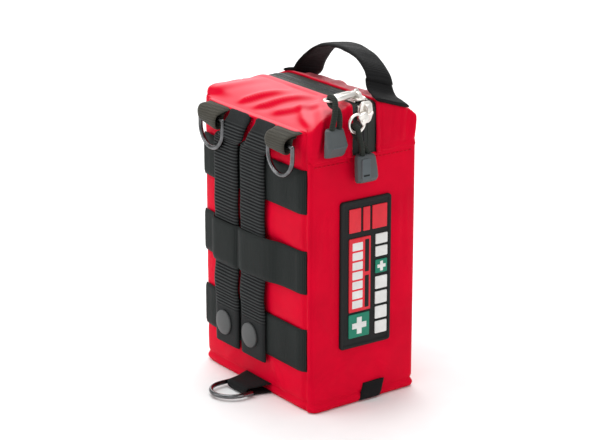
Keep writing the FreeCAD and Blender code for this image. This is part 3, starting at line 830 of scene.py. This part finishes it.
def settle_on_crown(piece):
    """Drops a level piece on to the domed top."""
    for vertex in piece.data.vertices:
        if vertex.co.z > WALL_TOP:
            vertex.co.z -= CROWN_Z - crown_z(vertex.co.y)
    piece.data.update()
    return settle(piece)


def sew_zip(piece, material, nodes=()):
    """Settles one length of the zip on the crown, finishes it and bakes its placement into its mesh."""
    settle_on_crown(piece)
    finish_piece(piece, material, replaces=nodes)
    follow_flap(piece)


def make_zip():
    """Two woven tapes with rolled inner edges, and the coil that runs under each."""
    for side, word in ((-1, "back"), (1, "front")):
        middle = side * (TAPE_HALF + 1.2 * MM) / 2
        width = TAPE_HALF + 0.6 * MM
        route = [(x, middle, z) for x, _, z in zip_line(1.3 * MM)]
        tape = webbing(word + "_tape", route, (0, 1, 0), width, 1.0 * MM, step=1.6 * MM)
        sew_zip(tape, "zip_tape", (word + "_zip_tape", "zip_ends"))
        for index, (y, inset, radius) in enumerate(((0.55, 1.0, 0.5), (2.9, 0.9, 0.32))):
            route = [(x, side * y * MM, z) for x, _, z in zip_line(inset * MM)]
            ridge = tube(f"{word}_tape_edge_{index}", route, radius * MM, step=0.55 * MM, sides=8,
                         shape=lambda s: 1 + 0.12 * math.cos(2 * math.pi * s / (1.2 * MM)))
            sew_zip(ridge, "zip_coil" if index == 0 else "zip_tape")
        rows, marks = smooth_path(zip_line(2.9 * MM), 0.25 * MM)
        coil_points = []
        for i, row in enumerate(rows):
            normal = tangent(rows, i).cross(Vector((0, 1, 0))).normalized()
            angle = 2 * math.pi * marks[i] / (1.6 * MM)
            here = Vector(row) + Vector((0, side * 1.75 * MM, 0))
            coil_points.append(here + Vector((0, side * math.cos(angle), 0)) * 1.1 * MM
                               + normal * math.sin(angle) * 0.7 * MM)
        coil = tube(word + "_coil", coil_points, 0.3 * MM, step=0.28 * MM, sides=6)
        sew_zip(coil, "zip_coil", (word + "_zip_coil",))


def outline_plate(name, outline, thickness, bevel):
    """A flat plate in the XY plane from z 0 up, with bevelled edges."""
    loops = [[Vector((x, y, z)) for x, y in outline] for z in (0, thickness)]
    return bevelled(loft(name, loops), bevel, 3)


def slider_piece(name, place):
    """A cast zip slider: waisted body, side flanges, a nose and the bridge for the pull."""
    half = [(-6.2, -2.6), (-4.6, -4.0), (-1.0, -4.6), (2.6, -4.4), (5.4, -3.2), (6.3, -1.6)]
    outline = shifted((0, 0), *half, *((x, -y) for x, y in reversed(half)))
    plate = outline_plate(name + "_plate", outline, 1.5 * MM, 0.45 * MM)
    parts = [plate]
    for sign in (-1, 1):
        rail = [(x * MM, sign * 4.3 * MM, -0.25 * MM) for x in (-4.0, -1.0, 2.0, 4.6)]
        parts.append(tube(name + "_rail", rail, 0.6 * MM, sides=8))
    arch = [(-4.4, 1.0), (-4.0, 2.6), (-2.6, 3.9), (0, 4.3), (2.6, 3.9), (4.0, 2.6), (4.4, 1.0)]
    bridge = webbing(name + "_bridge", [(x * MM, 0, z * MM) for x, z in arch], (0, 1, 0),
                     2.4 * MM, 1.1 * MM, step=0.5 * MM)
    parts.append(bridge)
    piece = joined(name, parts)
    piece.data.transform(place)
    return piece


def frame_matrix(origin, x_axis, y_axis, z_axis):
    """A placement whose own axes point along the three given directions."""
    matrix = Matrix((x_axis, y_axis, z_axis)).transposed().to_4x4()
    matrix.translation = origin
    return matrix


def block_loft(name, start, reach, across, up, stations):
    """A cast bar along reach; stations are (distance, width, thickness) in millimetres."""
    loops = []
    for s, wide, thick in stations:
        centre = start + reach * (s * MM)
        w, t = wide * MM / 2, thick * MM / 2
        c = min(w, t) * 0.45
        corners = ((w - c, -t), (w, -t + c), (w, t - c), (w - c, t),
                   (-w + c, t), (-w, t - c), (-w, -t + c), (-w + c, -t))
        loops.append([centre + across * a + up * b for a, b in corners])
    return bevelled(loft(name, loops), 0.25 * MM, 2, 25)


def wire_ring(name, centre, u, v, radius, wire):
    """A closed ring of round wire in the plane of u and v."""
    ring = [centre + (u * math.cos(a) + v * math.sin(a)) * radius
            for a in np.linspace(0, 2 * math.pi, 16, endpoint=False)]
    return tube(name, ring, wire, step=0.4 * MM, sides=10, closed=True)


def pull_piece(name, bar, eye, up):
    """A cast pull: a ring on the slider's bridge, a tapered bar and a ring for the cord."""
    reach = (eye - bar).normalized()
    across = up.cross(reach).normalized()
    length = (eye - bar).length / MM
    parts = [wire_ring(name + "_hook", bar, reach, up, 1.75 * MM, 0.7 * MM)]
    if length > 16:
        stations = [(1.4, 2.4, 1.8), (2.4, 4.4, 2.6), (5.0, 6.2, 3.0), (length * 0.62, 7.2, 3.2),
                    (length * 0.80, 6.8, 2.8), (length * 0.86, 5.4, 1.8)]
        parts.append(wire_ring(name + "_eye", eye, reach, across, 2.95 * MM, 0.72 * MM))
    else:
        stations = [(1.2, 3.0, 2.0), (2.0, 5.4, 3.0), (4.6, 6.6, 3.4), (7.2, 6.4, 2.8), (7.8, 5.4, 1.8)]
        middle = bar + reach * ((length - 2.1) * MM)
        parts.append(wire_ring(name + "_eye", middle, reach, across, 5.2 * MM, 0.85 * MM))
    parts.append(block_loft(name + "_bar", bar, reach, across, up, stations))
    first, last = [bar + reach * (s[0] * MM) + up * (stations[2][2] * MM / 2) for s in stations[2:4]]
    parts.append(tube(name + "_ridge", [first, (first + last) / 2, last], 0.5 * MM, sides=8))
    return joined(name, parts)


# The cords' routes in millimetres, the same points as in the CAD.
CORD_ROUTES = {
    "upper": [(59.8, -26.6, 167.0), (61.5, -25.8, 175.0), (59.0, -23.4, 183.1), (51.0, -22.1, 184.2),
              (51.0, -21.9, 178.3), (57.6, -21.2, 177.9), (59.9, -21.0, 172.8), (59.5, -21.4, 167.0)],
    "lower": [(60.6, -6.2, 149.5), (61.6, -7.3, 155.4), (61.7, -9.4, 161.0), (61.5, -10.5, 166.5),
              (56.2, -10.5, 166.5), (56.1, -8.9, 161.2), (58.1, -4.2, 155.0), (59.3, -1.1, 149.5)],
}
CORD_D = 3.2 * MM


def make_cord(word):
    """A short cord loop: out of the grip, through the pull's eye and back into the grip."""
    curve = bpy.data.curves.new("pull_cord_" + word, "CURVE")
    curve.dimensions = "3D"
    points = [Vector(p) * MM for p in CORD_ROUTES[word]]
    spline = curve.splines.new("NURBS")
    spline.points.add(len(points) - 1)
    for slot, point in zip(spline.points, points):
        slot.co = (*point, 1.0)
    spline.order_u = 3
    spline.use_endpoint_u = True
    spline.resolution_u = 12
    curve.bevel_depth = CORD_D / 2
    curve.bevel_resolution = 5
    curve.use_fill_caps = True
    piece = linked("pull_cord_" + word, curve)
    curve.materials.append(MATERIALS["pull_cord"])
    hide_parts("cord_" + word)
    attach(piece, "loop_" + word)
    return piece


# Down each grip: share of its length, share of its width, how far out its outer face stands.
GRIP_SHAPES = {
    "upper": [(0.0, 0.72, 0.02), (0.03, 0.84, 0.16), (0.08, 0.88, 0.22), (0.55, 0.98, 0.54),
              (0.59, 1.0, 0.58), (0.63, 1.0, 0.50), (0.95, 0.98, -0.02), (1.0, 0.88, -0.14)],
    "lower": [(0.0, 0.72, 0.12), (0.03, 0.84, 0.34), (0.10, 0.90, 0.44), (0.50, 0.97, 0.50),
              (0.82, 1.0, 0.50), (0.94, 0.98, 0.30), (1.0, 0.84, 0.05)],
}


def make_grip(word, lean):
    """A moulded grip: a chamfered wedge, with a let-in plate and a slot or a ridge outside."""
    low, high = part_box("grip_" + word)
    top = middle_of(low, high)
    top.z = high.z
    depth, width, length = high - low
    width *= 0.53
    loops = []
    for t, wide, outer in GRIP_SHAPES[word]:
        y = top.y + lean * MM * (t - 0.5)
        z = top.z - length * t
        w, c = width * wide, 1.9 * MM
        inner, outer = top.x - depth * 0.48, top.x + depth * outer
        c_in = min(c, (outer - inner) * 0.4)
        corners = ((inner, -w + c_in), (inner + c_in, -w), (outer - c_in, -w), (outer, -w + c),
                   (outer, w - c), (outer - c_in, w), (inner + c_in, w), (inner, w - c_in))
        loops.append([Vector((x, y + dy, z)) for x, dy in corners])
    body = bevelled(loft("grip_body_" + word, loops), 0.35 * MM, 2, 14)
    finish_piece(body, "grip_plastic", "loop_" + word, ("grip_" + word,))
    face = top.x + depth * 0.46
    if word == "lower":
        outline = rounded_outline(width * 0.42, length * 0.36, 1.0 * MM, 4)
        plate = outline_plate("grip_plate_" + word, outline, 0.8 * MM, 0.2 * MM)
        place = frame_matrix(Vector((face, top.y - width * 0.34, top.z - length * 0.46)),
                             Vector((0, 1, 0)), Vector((0, 0, 1)), Vector((1, 0, 0)))
        plate.data.transform(place)
        slot_z = top.z - length * 0.68
        route = [(face + out * MM, top.y - width * share, slot_z)
                 for out, share in ((0.75, 0.62), (0.8, 0.34), (0.75, 0.06))]
        slot = webbing("grip_slot_" + word, route, (0, 0, 1), 0.9 * MM, 0.5 * MM, step=1 * MM)
        finish_piece(slot, "label_rubber", "loop_" + word)
        extra = [slot]
    else:
        route = [(top.x + depth * out, top.y + width * share, top.z - length * 0.59)
                 for out, share in ((0.55, -0.66), (0.57, 0), (0.55, 0.66))]
        plate = tube("grip_ridge_" + word, route, 0.45 * MM)
        extra = []
    finish_piece(plate, "grip_plate", "loop_" + word)
    return [body, plate] + extra


def make_pulls():
    """Sliders, pulls, cords and grips."""
    x_axis, y_axis, z_axis = Vector((1, 0, 0)), Vector((0, 1, 0)), Vector((0, 0, 1))
    low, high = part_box("slider_upper")
    place = frame_matrix(Vector(((low.x + high.x) / 2, 0, low.z)), x_axis, y_axis, z_axis)
    finish_piece(slider_piece("slider_top", place), "nickel", "back_flap", ("slider_upper",))
    low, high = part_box("slider_lower")
    place = frame_matrix(Vector((low.x, 0, (low.z + high.z) / 2)), -z_axis, y_axis, x_axis)
    finish_piece(slider_piece("slider_side", place), "nickel", "slider_lower", ("slider_lower",))
    for word, hinge, up in (("upper", "pull_upper_lift", z_axis), ("lower", "pull_lower_swing", x_axis)):
        bar = PIVOTS[hinge]
        route = [Vector(p) * MM for p in CORD_ROUTES[word]]
        eye = (route[3] + route[4]) / 2
        eye = eye - up * (eye - bar).dot(up)
        pull = pull_piece("pull_" + word + "_cast", bar, eye, up)
        finish_piece(pull, "nickel", "pull_" + word, ("pull_" + word,))
        grips = make_grip(word, 0.8 if word == "upper" else 1.4)
        make_cord(word)


# ---- webbing ----
def make_rows():
    """Three rows of webbing sewn across the back; the middle one bridges the two straps."""
    flat = -HALF_D - 0.85 * MM
    for name, (low, high) in ROWS.items():
        z = (low.z + high.z) / 2
        width = high.z - low.z
        points = [(x * MM, flat + edge_turn(x * MM)) for x in (-51.8, -49, -46, -43)]
        if name == "middle":
            over = STRAP_Y - 2.15 * MM
            left_low, left_high = STRAPS["left"]
            right_low, right_high = STRAPS["right"]
            points += shifted((left_low.x, flat), (-3, -0.8))
            points += shifted((left_low.x, over), (1, 0.3), (8, -0.3))
            points += shifted((left_high.x, over), (-3, 0), (1.5, 1.5))
            points += shifted((right_low.x, over), (3, 0), (9, -0.3))
            points += shifted((right_high.x, over), (-1, 0.2), (6, 1.2))
            points += shifted((right_high.x, flat), (14, -0.9))
        else:
            points += shifted((0, flat), (-30, 0), (0, 0), (24, -0.3))
        points += shifted((0, flat), (41, 0), (44.5, 0.1), (47.5, 0.9), (49.6, 2.4))
        points = [(x, y, z + 0.25 * MM * math.sin(x * 90)) for x, y in points]
        piece = webbing("row_" + name, points, (0, 0, 1), width, 1.5 * MM, step=0.35 * MM,
                        rib=0.12 * MM, pitch=1.05 * MM, weave=0.05 * MM)
        finish_piece(piece, "row_webbing", "pouch", ("molle_row_" + name,))


def make_straps():
    """Two ribbed straps from the top seam to their snapped tips."""
    for word, (low, high) in STRAPS.items():
        x = (low.x + high.x) / 2
        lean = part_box("strap_" + word)[1].x - high.x
        y = STRAP_Y
        middle_low, middle_high = ROWS["middle"]
        top_x = x + lean + 1.7 * MM
        points = shifted((top_x, -HALF_D, WALL_TOP), (0.8, -1.2), (-1.6, -1.8))
        points += shifted((top_x, y, WALL_TOP), (0.3, -4.4))
        points += shifted((x + lean * 0.92, y, WALL_TOP), (-1.6, -10))
        points += shifted((x + lean * 0.62, y, WALL_TOP), (-2.2, -17))
        points += shifted((x + lean * 0.22, y, ROWS["upper"][1].z), (-1.0, 4))
        points += shifted((x, y, ROWS["upper"][1].z), (-0.2, -4))
        points += shifted((x, y, ROWS["upper"][0].z), (0, 0), (-0.3, -10))
        points += shifted((x, y, middle_high.z), (0.1, 2), (0.2, -8))
        points += shifted((x, y, middle_low.z), (0.2, 4), (0, -3))
        points += shifted((x, y, ROWS["lower"][1].z), (-0.9, 8), (0, -3))
        points += shifted((x, y, ROWS["lower"][0].z), (0, 4)) + shifted((x, y, low.z), (0.2, 0.6))
        full = high.x - low.x

        def width(t):
            return full - 3.4 * MM * (1 - ramp(t, 0.03, 0.16))

        def ribbed(t):
            return ramp(t, 0.055, 0.08) * (1 - ramp(t, 0.83, 0.86))

        piece = webbing("ribbed_strap_" + word, points, (-1, 0, 0), width, 2.2 * MM, step=0.26 * MM,
                        rib=0.6 * MM, pitch=1.95 * MM, ribbed=ribbed, weave=0.06 * MM)
        finish_piece(piece, "strap_webbing",
                     replaces=("strap_" + word, "strap_tip_" + word))
        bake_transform(piece)
        make_snap_cap(word)


def make_snap_cap(word):
    """A domed enamelled cap with a rolled rim."""
    low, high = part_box("snap_cap_" + word)
    centre = middle_of(low, high)
    radius = (high.x - low.x) / 2
    height = high.y - low.y
    profile = [(1.0, 0.0), (1.0, 0.28), (0.975, 0.45), (0.93, 0.55), (0.86, 0.62), (0.74, 0.76),
               (0.55, 0.90), (0.3, 0.98), (0.04, 1.0)]
    loops = []
    for r, h in profile:
        loops.append([Vector((centre.x + radius * r * math.cos(a), high.y - height * h,
                              centre.z + radius * r * math.sin(a)))
                      for a in np.linspace(0, 2 * math.pi, 40, endpoint=False)])
    cap = loft("cap_" + word, loops)
    finish_piece(cap, "snap_enamel", "tip_" + word, ("snap_cap_" + word,))


def make_ring_loops():
    """Folded webbing that holds each D-ring."""
    for word, root_x, nose_x, drop in (("left", 2.8, -1.0, 1.6), ("right", 0.6, -1.6, 0.6)):
        low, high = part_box("ring_loop_" + word)
        x = (low.x + high.x) / 2
        root = (x + root_x * MM, -HALF_D, WALL_TOP)
        x += nose_x * MM
        _, by, bz = PIVOTS[f"ring_{word}_swing"]
        points = shifted(root, (1, -1), (-2, -1.6))
        points += shifted((x, by, bz), (-0.6, 4.6), (-2.7, 2.2), (-2.9, -0.6), (-2.2, -3.2), (-0.2, -3.9),
                          (1.9, -2.4), (2.6, 0.8), (3.2, 3.6))
        points += shifted((x, -HALF_D, WALL_TOP), (-1.2, -4.6), (0.8, -3.6))

        def width(t):
            return (23.5 - 5.0 * ramp(t, 0.02, 0.24)) * MM

        def side(t):
            twist = drop * MM * ramp(t, 0.05, 0.3) * (1 - ramp(t, 0.7, 0.95))
            return Vector((-9 * MM, 0, twist)).normalized()

        piece = webbing("loop_webbing_" + word, points, side, width, 1.2 * MM, step=0.4 * MM,
                        rib=0.16 * MM, pitch=1.5 * MM, weave=0.1 * MM)
        finish_piece(piece, "ring_webbing", "pouch", ("ring_loop_" + word,))
    low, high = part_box("ring_loop_base")
    x = (low.x + high.x) / 2
    _, by, bz = PIVOTS["ring_base_lift"]
    seam = (x, -HALF_D, bz)
    points = shifted(seam, (1.5, 3.2), (-3, 2.9))
    points += shifted((x, by, bz), (5, 2.3), (1.5, 2.25), (-1.4, 1.9), (-2.3, 0), (-1.4, -1.7), (1.5, -1.9),
                      (5, -1.9))
    points += shifted(seam, (-3, -1.8), (1.5, -1.7))
    piece = webbing("loop_webbing_base", points, (-1, 0, 0),
                    lambda t: (27.5 - 8.0 * math.sin(math.pi * t)) * MM, 1.2 * MM, step=0.4 * MM,
                    rib=0.12 * MM, pitch=1.4 * MM)
    finish_piece(piece, "handle_webbing", "pouch", ("ring_loop_base",))


def make_handle():
    """One length of webbing: sewn flat at both ends of the top and arched between."""
    low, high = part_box("carry_handle")
    y = (low.y + high.y) / 2
    middle = (low.x + high.x) / 2
    reach = (high.x - low.x) / 2
    foot = crown_z(y)
    near = shifted((FEET_HIGH.x, foot), (0.8, -0.6), (-3.5, 1))
    near += shifted((middle + reach, foot), (3.2, 2.4), (0.6, 4.6), (-1.2, 8.5))
    far = shifted((FEET_LOW.x, foot), (1, 0.2), (4, 1))
    far += shifted((middle - reach, foot), (-3.6, 1.9), (-1.2, 3.6))
    far += shifted((middle - reach * 0.99, foot), (0, 6.2))
    near_arch = [(0.985, 0.40), (0.917, 0.58), (0.754, 0.77), (0.53, 0.915), (0.27, 0.99)]
    far_arch = [(0.266, 0.95), (0.497, 0.85), (0.734, 0.63), (0.90, 0.42)]
    top = high.z - 0.6 * MM
    rise = top - foot
    points = near + [(middle + reach * a, foot + rise * b) for a, b in near_arch] + [(middle, top)]
    points += [(middle - reach * a, foot + rise * b) for a, b in far_arch] + list(reversed(far))
    points = [(a, y, c) for a, c in points]
    slope = math.asin(y / CROWN_R)

    def side(t):
        tilt = slope * np.interp(t, (0.0, 0.12, 0.28, 0.5, 0.75, 0.9, 1.0),
                                 (1.0, 1.0, 1.1, 0.45, -0.1, 0.6, 1.0))
        return Vector((0, math.cos(tilt), -math.sin(tilt)))

    def width(t):
        away = abs(t - 0.5) * 2
        return (21.5 - 1.5 * bump(away, 0.66, 0.16) + 3.5 * ramp(away, 0.84, 0.96)) * MM

    piece = webbing("handle_strap", points, side, width, 2.0 * MM, step=0.6 * MM, rib=0.06 * MM,
                    pitch=1.2 * MM, weave=0.12 * MM)

    def buckle(p, normal):
        share = ramp(p.z, foot + 6 * MM, foot + 12 * MM)
        return 0.6 * MM * wrinkle((p.x, p.y * 0.4, p.z), 9 * MM, 4.0) * share

    push(piece, buckle)
    settle(piece)
    finish_piece(piece, "handle_webbing", replaces=("carry_handle", "handle_anchors"))
    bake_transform(piece)


def make_tab():
    """A short webbing tab caught in the base seam of the label side."""
    low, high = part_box("side_tab")
    y = (low.y + high.y) / 2
    points = []
    for z, shift in ((high.z, 2.4), (high.z * 0.7, 1.4), (high.z * 0.35, 0.2), (low.z + 0.9 * MM, -1.0)):
        face = HALF_W + base_spread(HALF_W, y, z) + body_relief(Vector((HALF_W, y, z)), Vector((1, 0, 0)))
        points.append((face + 0.5 * MM, y + shift * MM, z))
    piece = webbing("tab_webbing", points, (0, 1, 0), high.y - low.y, 1.3 * MM, step=0.35 * MM,
                    rib=0.1 * MM, pitch=1.1 * MM)
    finish_piece(piece, "handle_webbing", "pouch", ("side_tab",))


# ---- label ----
def rounded_outline(half_w, half_h, radius, steps=5):
    """A rectangle with round corners, anticlockwise."""
    out = []
    w, h = half_w - radius, half_h - radius
    for turn, (cx, cy) in enumerate(((w, h), (-w, h), (-w, -h), (w, -h))):
        for a in math.pi / 2 * (turn + np.linspace(0, 1, steps)):
            out.append((cx + radius * math.cos(a), cy + radius * math.sin(a)))
    return out


def stepped_plate(name, half_w, half_h, radius, steps, centre):
    """A plate on the label side built from (inset, height) steps in millimetres."""
    loops = []
    for inset, height in shifted((0, 0), *steps):
        ring = rounded_outline(half_w - inset, half_h - inset, max(radius - inset, 0.3 * MM))
        loops.append([Vector((centre.x + height, centre.y + a, centre.z + b)) for a, b in ring])
    return loft(name, loops)


def make_label():
    """A moulded rubber patch with a raised rim, a first aid cross and plain colour bars."""
    low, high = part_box("label_patch")
    centre = middle_of(low, high)
    centre.x = low.x - 0.3 * MM
    half_w = (high.y - low.y) / 2
    half_h = (high.z - low.z) / 2
    rim = [(0, 0), (0, 1.5), (0.25, 1.85), (0.55, 2.0), (1.5, 2.0), (1.8, 1.85), (2.05, 1.35), (3.0, 1.3)]
    patch = stepped_plate("rubber_patch", half_w, half_h, 2.0 * MM, rim, centre)
    finish_piece(patch, "label_rubber", "pouch", ("label_patch",))
    field = low.x + 0.95 * MM
    foot = low.z + 1 * MM
    raised = [(0, 0), (0, 0.5), (0.12, 0.64), (0.3, 0.7)]
    bars = [(24.4, 32.8, *ends) for ends in ((4.5, 11.9), (13.5, 20.9), (22.5, 29.9), (31.5, 39.0),
                                             (51.0, 57.0), (58.5, 64.5))]
    bars += [(8.0, 15.4, 22.6 + 5.75 * k, 27.4 + 5.75 * k) for k in range(7)]
    slots = [(16.8, 19.8, *ends) for ends in ((22.2, 41.5), (43.5, 63.0))]
    bands = [(*ends, 68.0, 82.0) for ends in ((5.8, 14.0), (15.6, 20.4), (22.0, 32.4))]
    areas = [("panel", "print_red", (5.8, 21.0, 20.6, 64.5), 0.0)]
    for word, material, group, lift in (("bar", "print_white", bars, 0.12 * MM),
                                        ("slot", "label_rubber", slots, 0.12 * MM),
                                        ("band", "print_red", bands, 0.0)):
        areas += [(f"{word}_{i}", material, area, lift) for i, area in enumerate(group)]
    areas += [("badge", "print_green", (5.8, 20.4, 5.0, 19.2), 0.0),
              ("small_badge", "print_green", (24.4, 32.8, 41.0, 49.0), 0.0)]
    for name, material, (y0, y1, z0, z1), lift in areas:
        middle = Vector((field + lift, low.y + (y0 + y1) / 2 * MM, foot + (z0 + z1) / 2 * MM))
        half = ((y1 - y0) / 2 * MM, (z1 - z0) / 2 * MM)
        piece = stepped_plate("print_" + name, *half, 0.5 * MM, raised, middle)
        stands_for = ("label_print",) if name == "badge" else ()
        finish_piece(piece, material, "pouch", stands_for)
    for name, (y, z, size) in (("cross", (13.1, 12.1, 5.0)), ("small_cross", (28.6, 45.0, 2.9))):
        arm, reach = size * 0.34 * MM, size * MM
        outline = [(arm, reach), (-arm, reach), (-arm, arm), (-reach, arm), (-reach, -arm), (-arm, -arm)]
        outline += [(-a, -b) for a, b in outline]
        face = field + 0.5 * MM
        loops = [[Vector((face + h, low.y + y * MM + a, foot + z * MM + b)) for a, b in outline]
                 for h in (0, 0.45 * MM)]
        piece = bevelled(loft("print_" + name, loops), 0.12 * MM, 2)
        finish_piece(piece, "print_white", "pouch")


# ---- contents ----
def make_pack(node, material, crimp_axis="z"):
    """A puffed flat pack with crimped ends, in the space its CAD block holds."""
    low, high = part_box(node)
    centre = middle_of(low, high)
    half = (high - low) / 2
    order = {"z": (0, 1, 2), "x": (2, 1, 0)}[crimp_axis]
    loops = []
    count = 40
    end = [(1.0, 0.1), (0.965, 0.12), (0.93, 0.16), (0.84, 0.62), (0.65, 0.88), (0.3, 1.0)]
    sections = [(-t, thick) for t, thick in end] + [(0.0, 1.0)] + end[::-1]
    for t, thick in sections:
        ring = []
        for k in range(count):
            a = 2 * math.pi * k / count
            c, s = math.cos(a), math.sin(a)
            wide = half[order[0]] * math.copysign(abs(c) ** 0.35, c) * (0.96 + 0.04 * thick)
            deep = half[order[1]] * math.copysign(abs(s) ** 0.8, s) * thick * 0.92
            point = Vector(centre)
            point[order[0]] += wide
            point[order[1]] += deep
            point[order[2]] += half[order[2]] * t
            ring.append(point)
        loops.append(ring)
    piece = subdivide(loft(node + "_pack", loops), 1)

    def crinkle(p, normal):
        return -0.5 * MM * abs(wrinkle(p, 7 * MM, 1.0)) - 0.4 * MM * abs(wrinkle(p, 16 * MM, 6.0))

    push(piece, crinkle)
    return finish_piece(piece, material, "pouch", (node,))


def make_rolls():
    """Three rolled crepe bandages: wound layers and a soft crush."""
    low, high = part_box("crepe_bandages")
    radius = (high.y - low.y) / 2
    length = high.z - low.z
    layers = 18
    stations = [(radius * (0.16 + 0.80 * k / (layers - 1)), high.z - (0.9 * MM if k % 2 else 0.0))
                for k in range(layers)]
    stations.append((radius * 0.985, high.z - 1.2 * MM))
    stations += [(radius * (0.99 - 0.012 * math.sin(math.pi * k / 12)), high.z - length * k / 12)
                 for k in range(1, 12)]
    stations += [(radius * 0.97, low.z + 0.6 * MM), (radius * 0.5, low.z)]
    pieces = []
    y = (low.y + high.y) / 2
    for index, x in enumerate((low.x + radius, (low.x + high.x) / 2, high.x - radius)):
        loops = []
        for r, z in stations:
            ring = []
            for a in np.linspace(0, 2 * math.pi, 44, endpoint=False):
                soft = 0.985 * (1 + 0.012 * math.sin(3 * a + index) + 0.008 * math.sin(7 * a - index))
                ring.append(Vector((x + r * soft * math.cos(a), y + r * soft * math.sin(a), z)))
            loops.append(ring)
        pieces.append(loft(f"roll_{index}", loops))
    rolls = joined("bandage_rolls", pieces)
    finish_piece(rolls, "cotton_crepe", "pouch", ("crepe_bandages",))


def make_divider():
    """The inner pocket wall: a slightly slack mesh sheet with a bound top edge."""
    low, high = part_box("divider_panel")
    columns, rows = 51, 41
    verts = []
    for z in np.linspace(low.z, high.z, rows):
        for x in np.linspace(low.x, high.x, columns):
            verts.append((x, 0.35 * MM * wrinkle((x, 0, z), 18 * MM, 2.0), z))
    sheet = make_mesh("divider_mesh", verts, grid_faces(rows, columns))
    solid(sheet, 0.6 * MM)
    finish_piece(sheet, "lining_mesh", "pouch", ("divider_panel",))
    binding = webbing("divider_binding", [(low.x, 0, high.z - 2 * MM), (0, 0.2 * MM, high.z - 2 * MM),
                                          (high.x, 0, high.z - 2 * MM)], (0, 0, 1), 7 * MM, 1.5 * MM)
    finish_piece(binding, "handle_webbing", "pouch")


def make_contents():
    make_rolls()
    make_divider()
    make_pack("triangular_bandage", "sterile_wrap", "x")
    make_pack("gauze_swabs", "sterile_wrap", "x")
    make_pack("trauma_dressing", "sterile_wrap")
    make_pack("foil_blanket", "foil_film")
    make_pack("glove_pack", "glove_film", "x")


# ---- stitching ----
def stitch_line(name, points, normal):
    """A row of short raised stitches along a route, each a small sunk-ended thread."""
    rows, _ = smooth_path(points, 0.5 * MM)
    pieces = []
    for start in range(0, len(rows) - 6, 6):
        thread = [Vector(rows[start + k]) + normal * (lift * MM)
                  for k, lift in enumerate((-0.15, 0.12, 0.2, 0.12, -0.15))]
        pieces.append(tube(f"{name}_{start}", thread, 0.22 * MM, step=0.5 * MM, sides=6))
    finish_piece(joined(name, pieces), "stitch_red", "pouch")


def make_stitching():
    """Top-stitching below the cross seams."""
    for sign, word in ((1, "near"), (-1, "far")):
        route = [(sign * (HALF_W + 0.2 * MM), y, SEAM_Z - 2.6 * MM) for y in (-FLAT_Y, 0, FLAT_Y)]
        stitch_line("seam_stitch_" + word, route, Vector((sign, 0, 0)))


# ---- carried-over CAD nodes ----
def paint_cad():
    """The harder pieces keep their CAD shape and get a finish."""
    keep = {"d_ring_left": "ring_metal", "d_ring_right": "ring_metal", "d_ring_base": "ring_metal",
            "snap_socket_left": "snap_brass", "snap_socket_right": "snap_brass", "snap_studs": "snap_brass",
            "adhesive_strip_box": "carton", "tape_roll": "tape_paper", "saline_ampoules": "ampoule_plastic",
            "shear_blades": "stainless", "shear_pivot": "stainless", "tweezers": "stainless",
            "shear_handles": "shear_plastic"}
    for node, material in keep.items():
        piece = frame["nodes"][node]
        piece.data.materials.clear()
        piece.data.materials.append(MATERIALS[material])


make_materials()
make_stage()
make_pulls()
make_body()
make_covers()
make_zip()
make_rows()
make_straps()
make_ring_loops()
make_handle()
make_tab()
make_label()
make_contents()
make_stitching()
paint_cad()
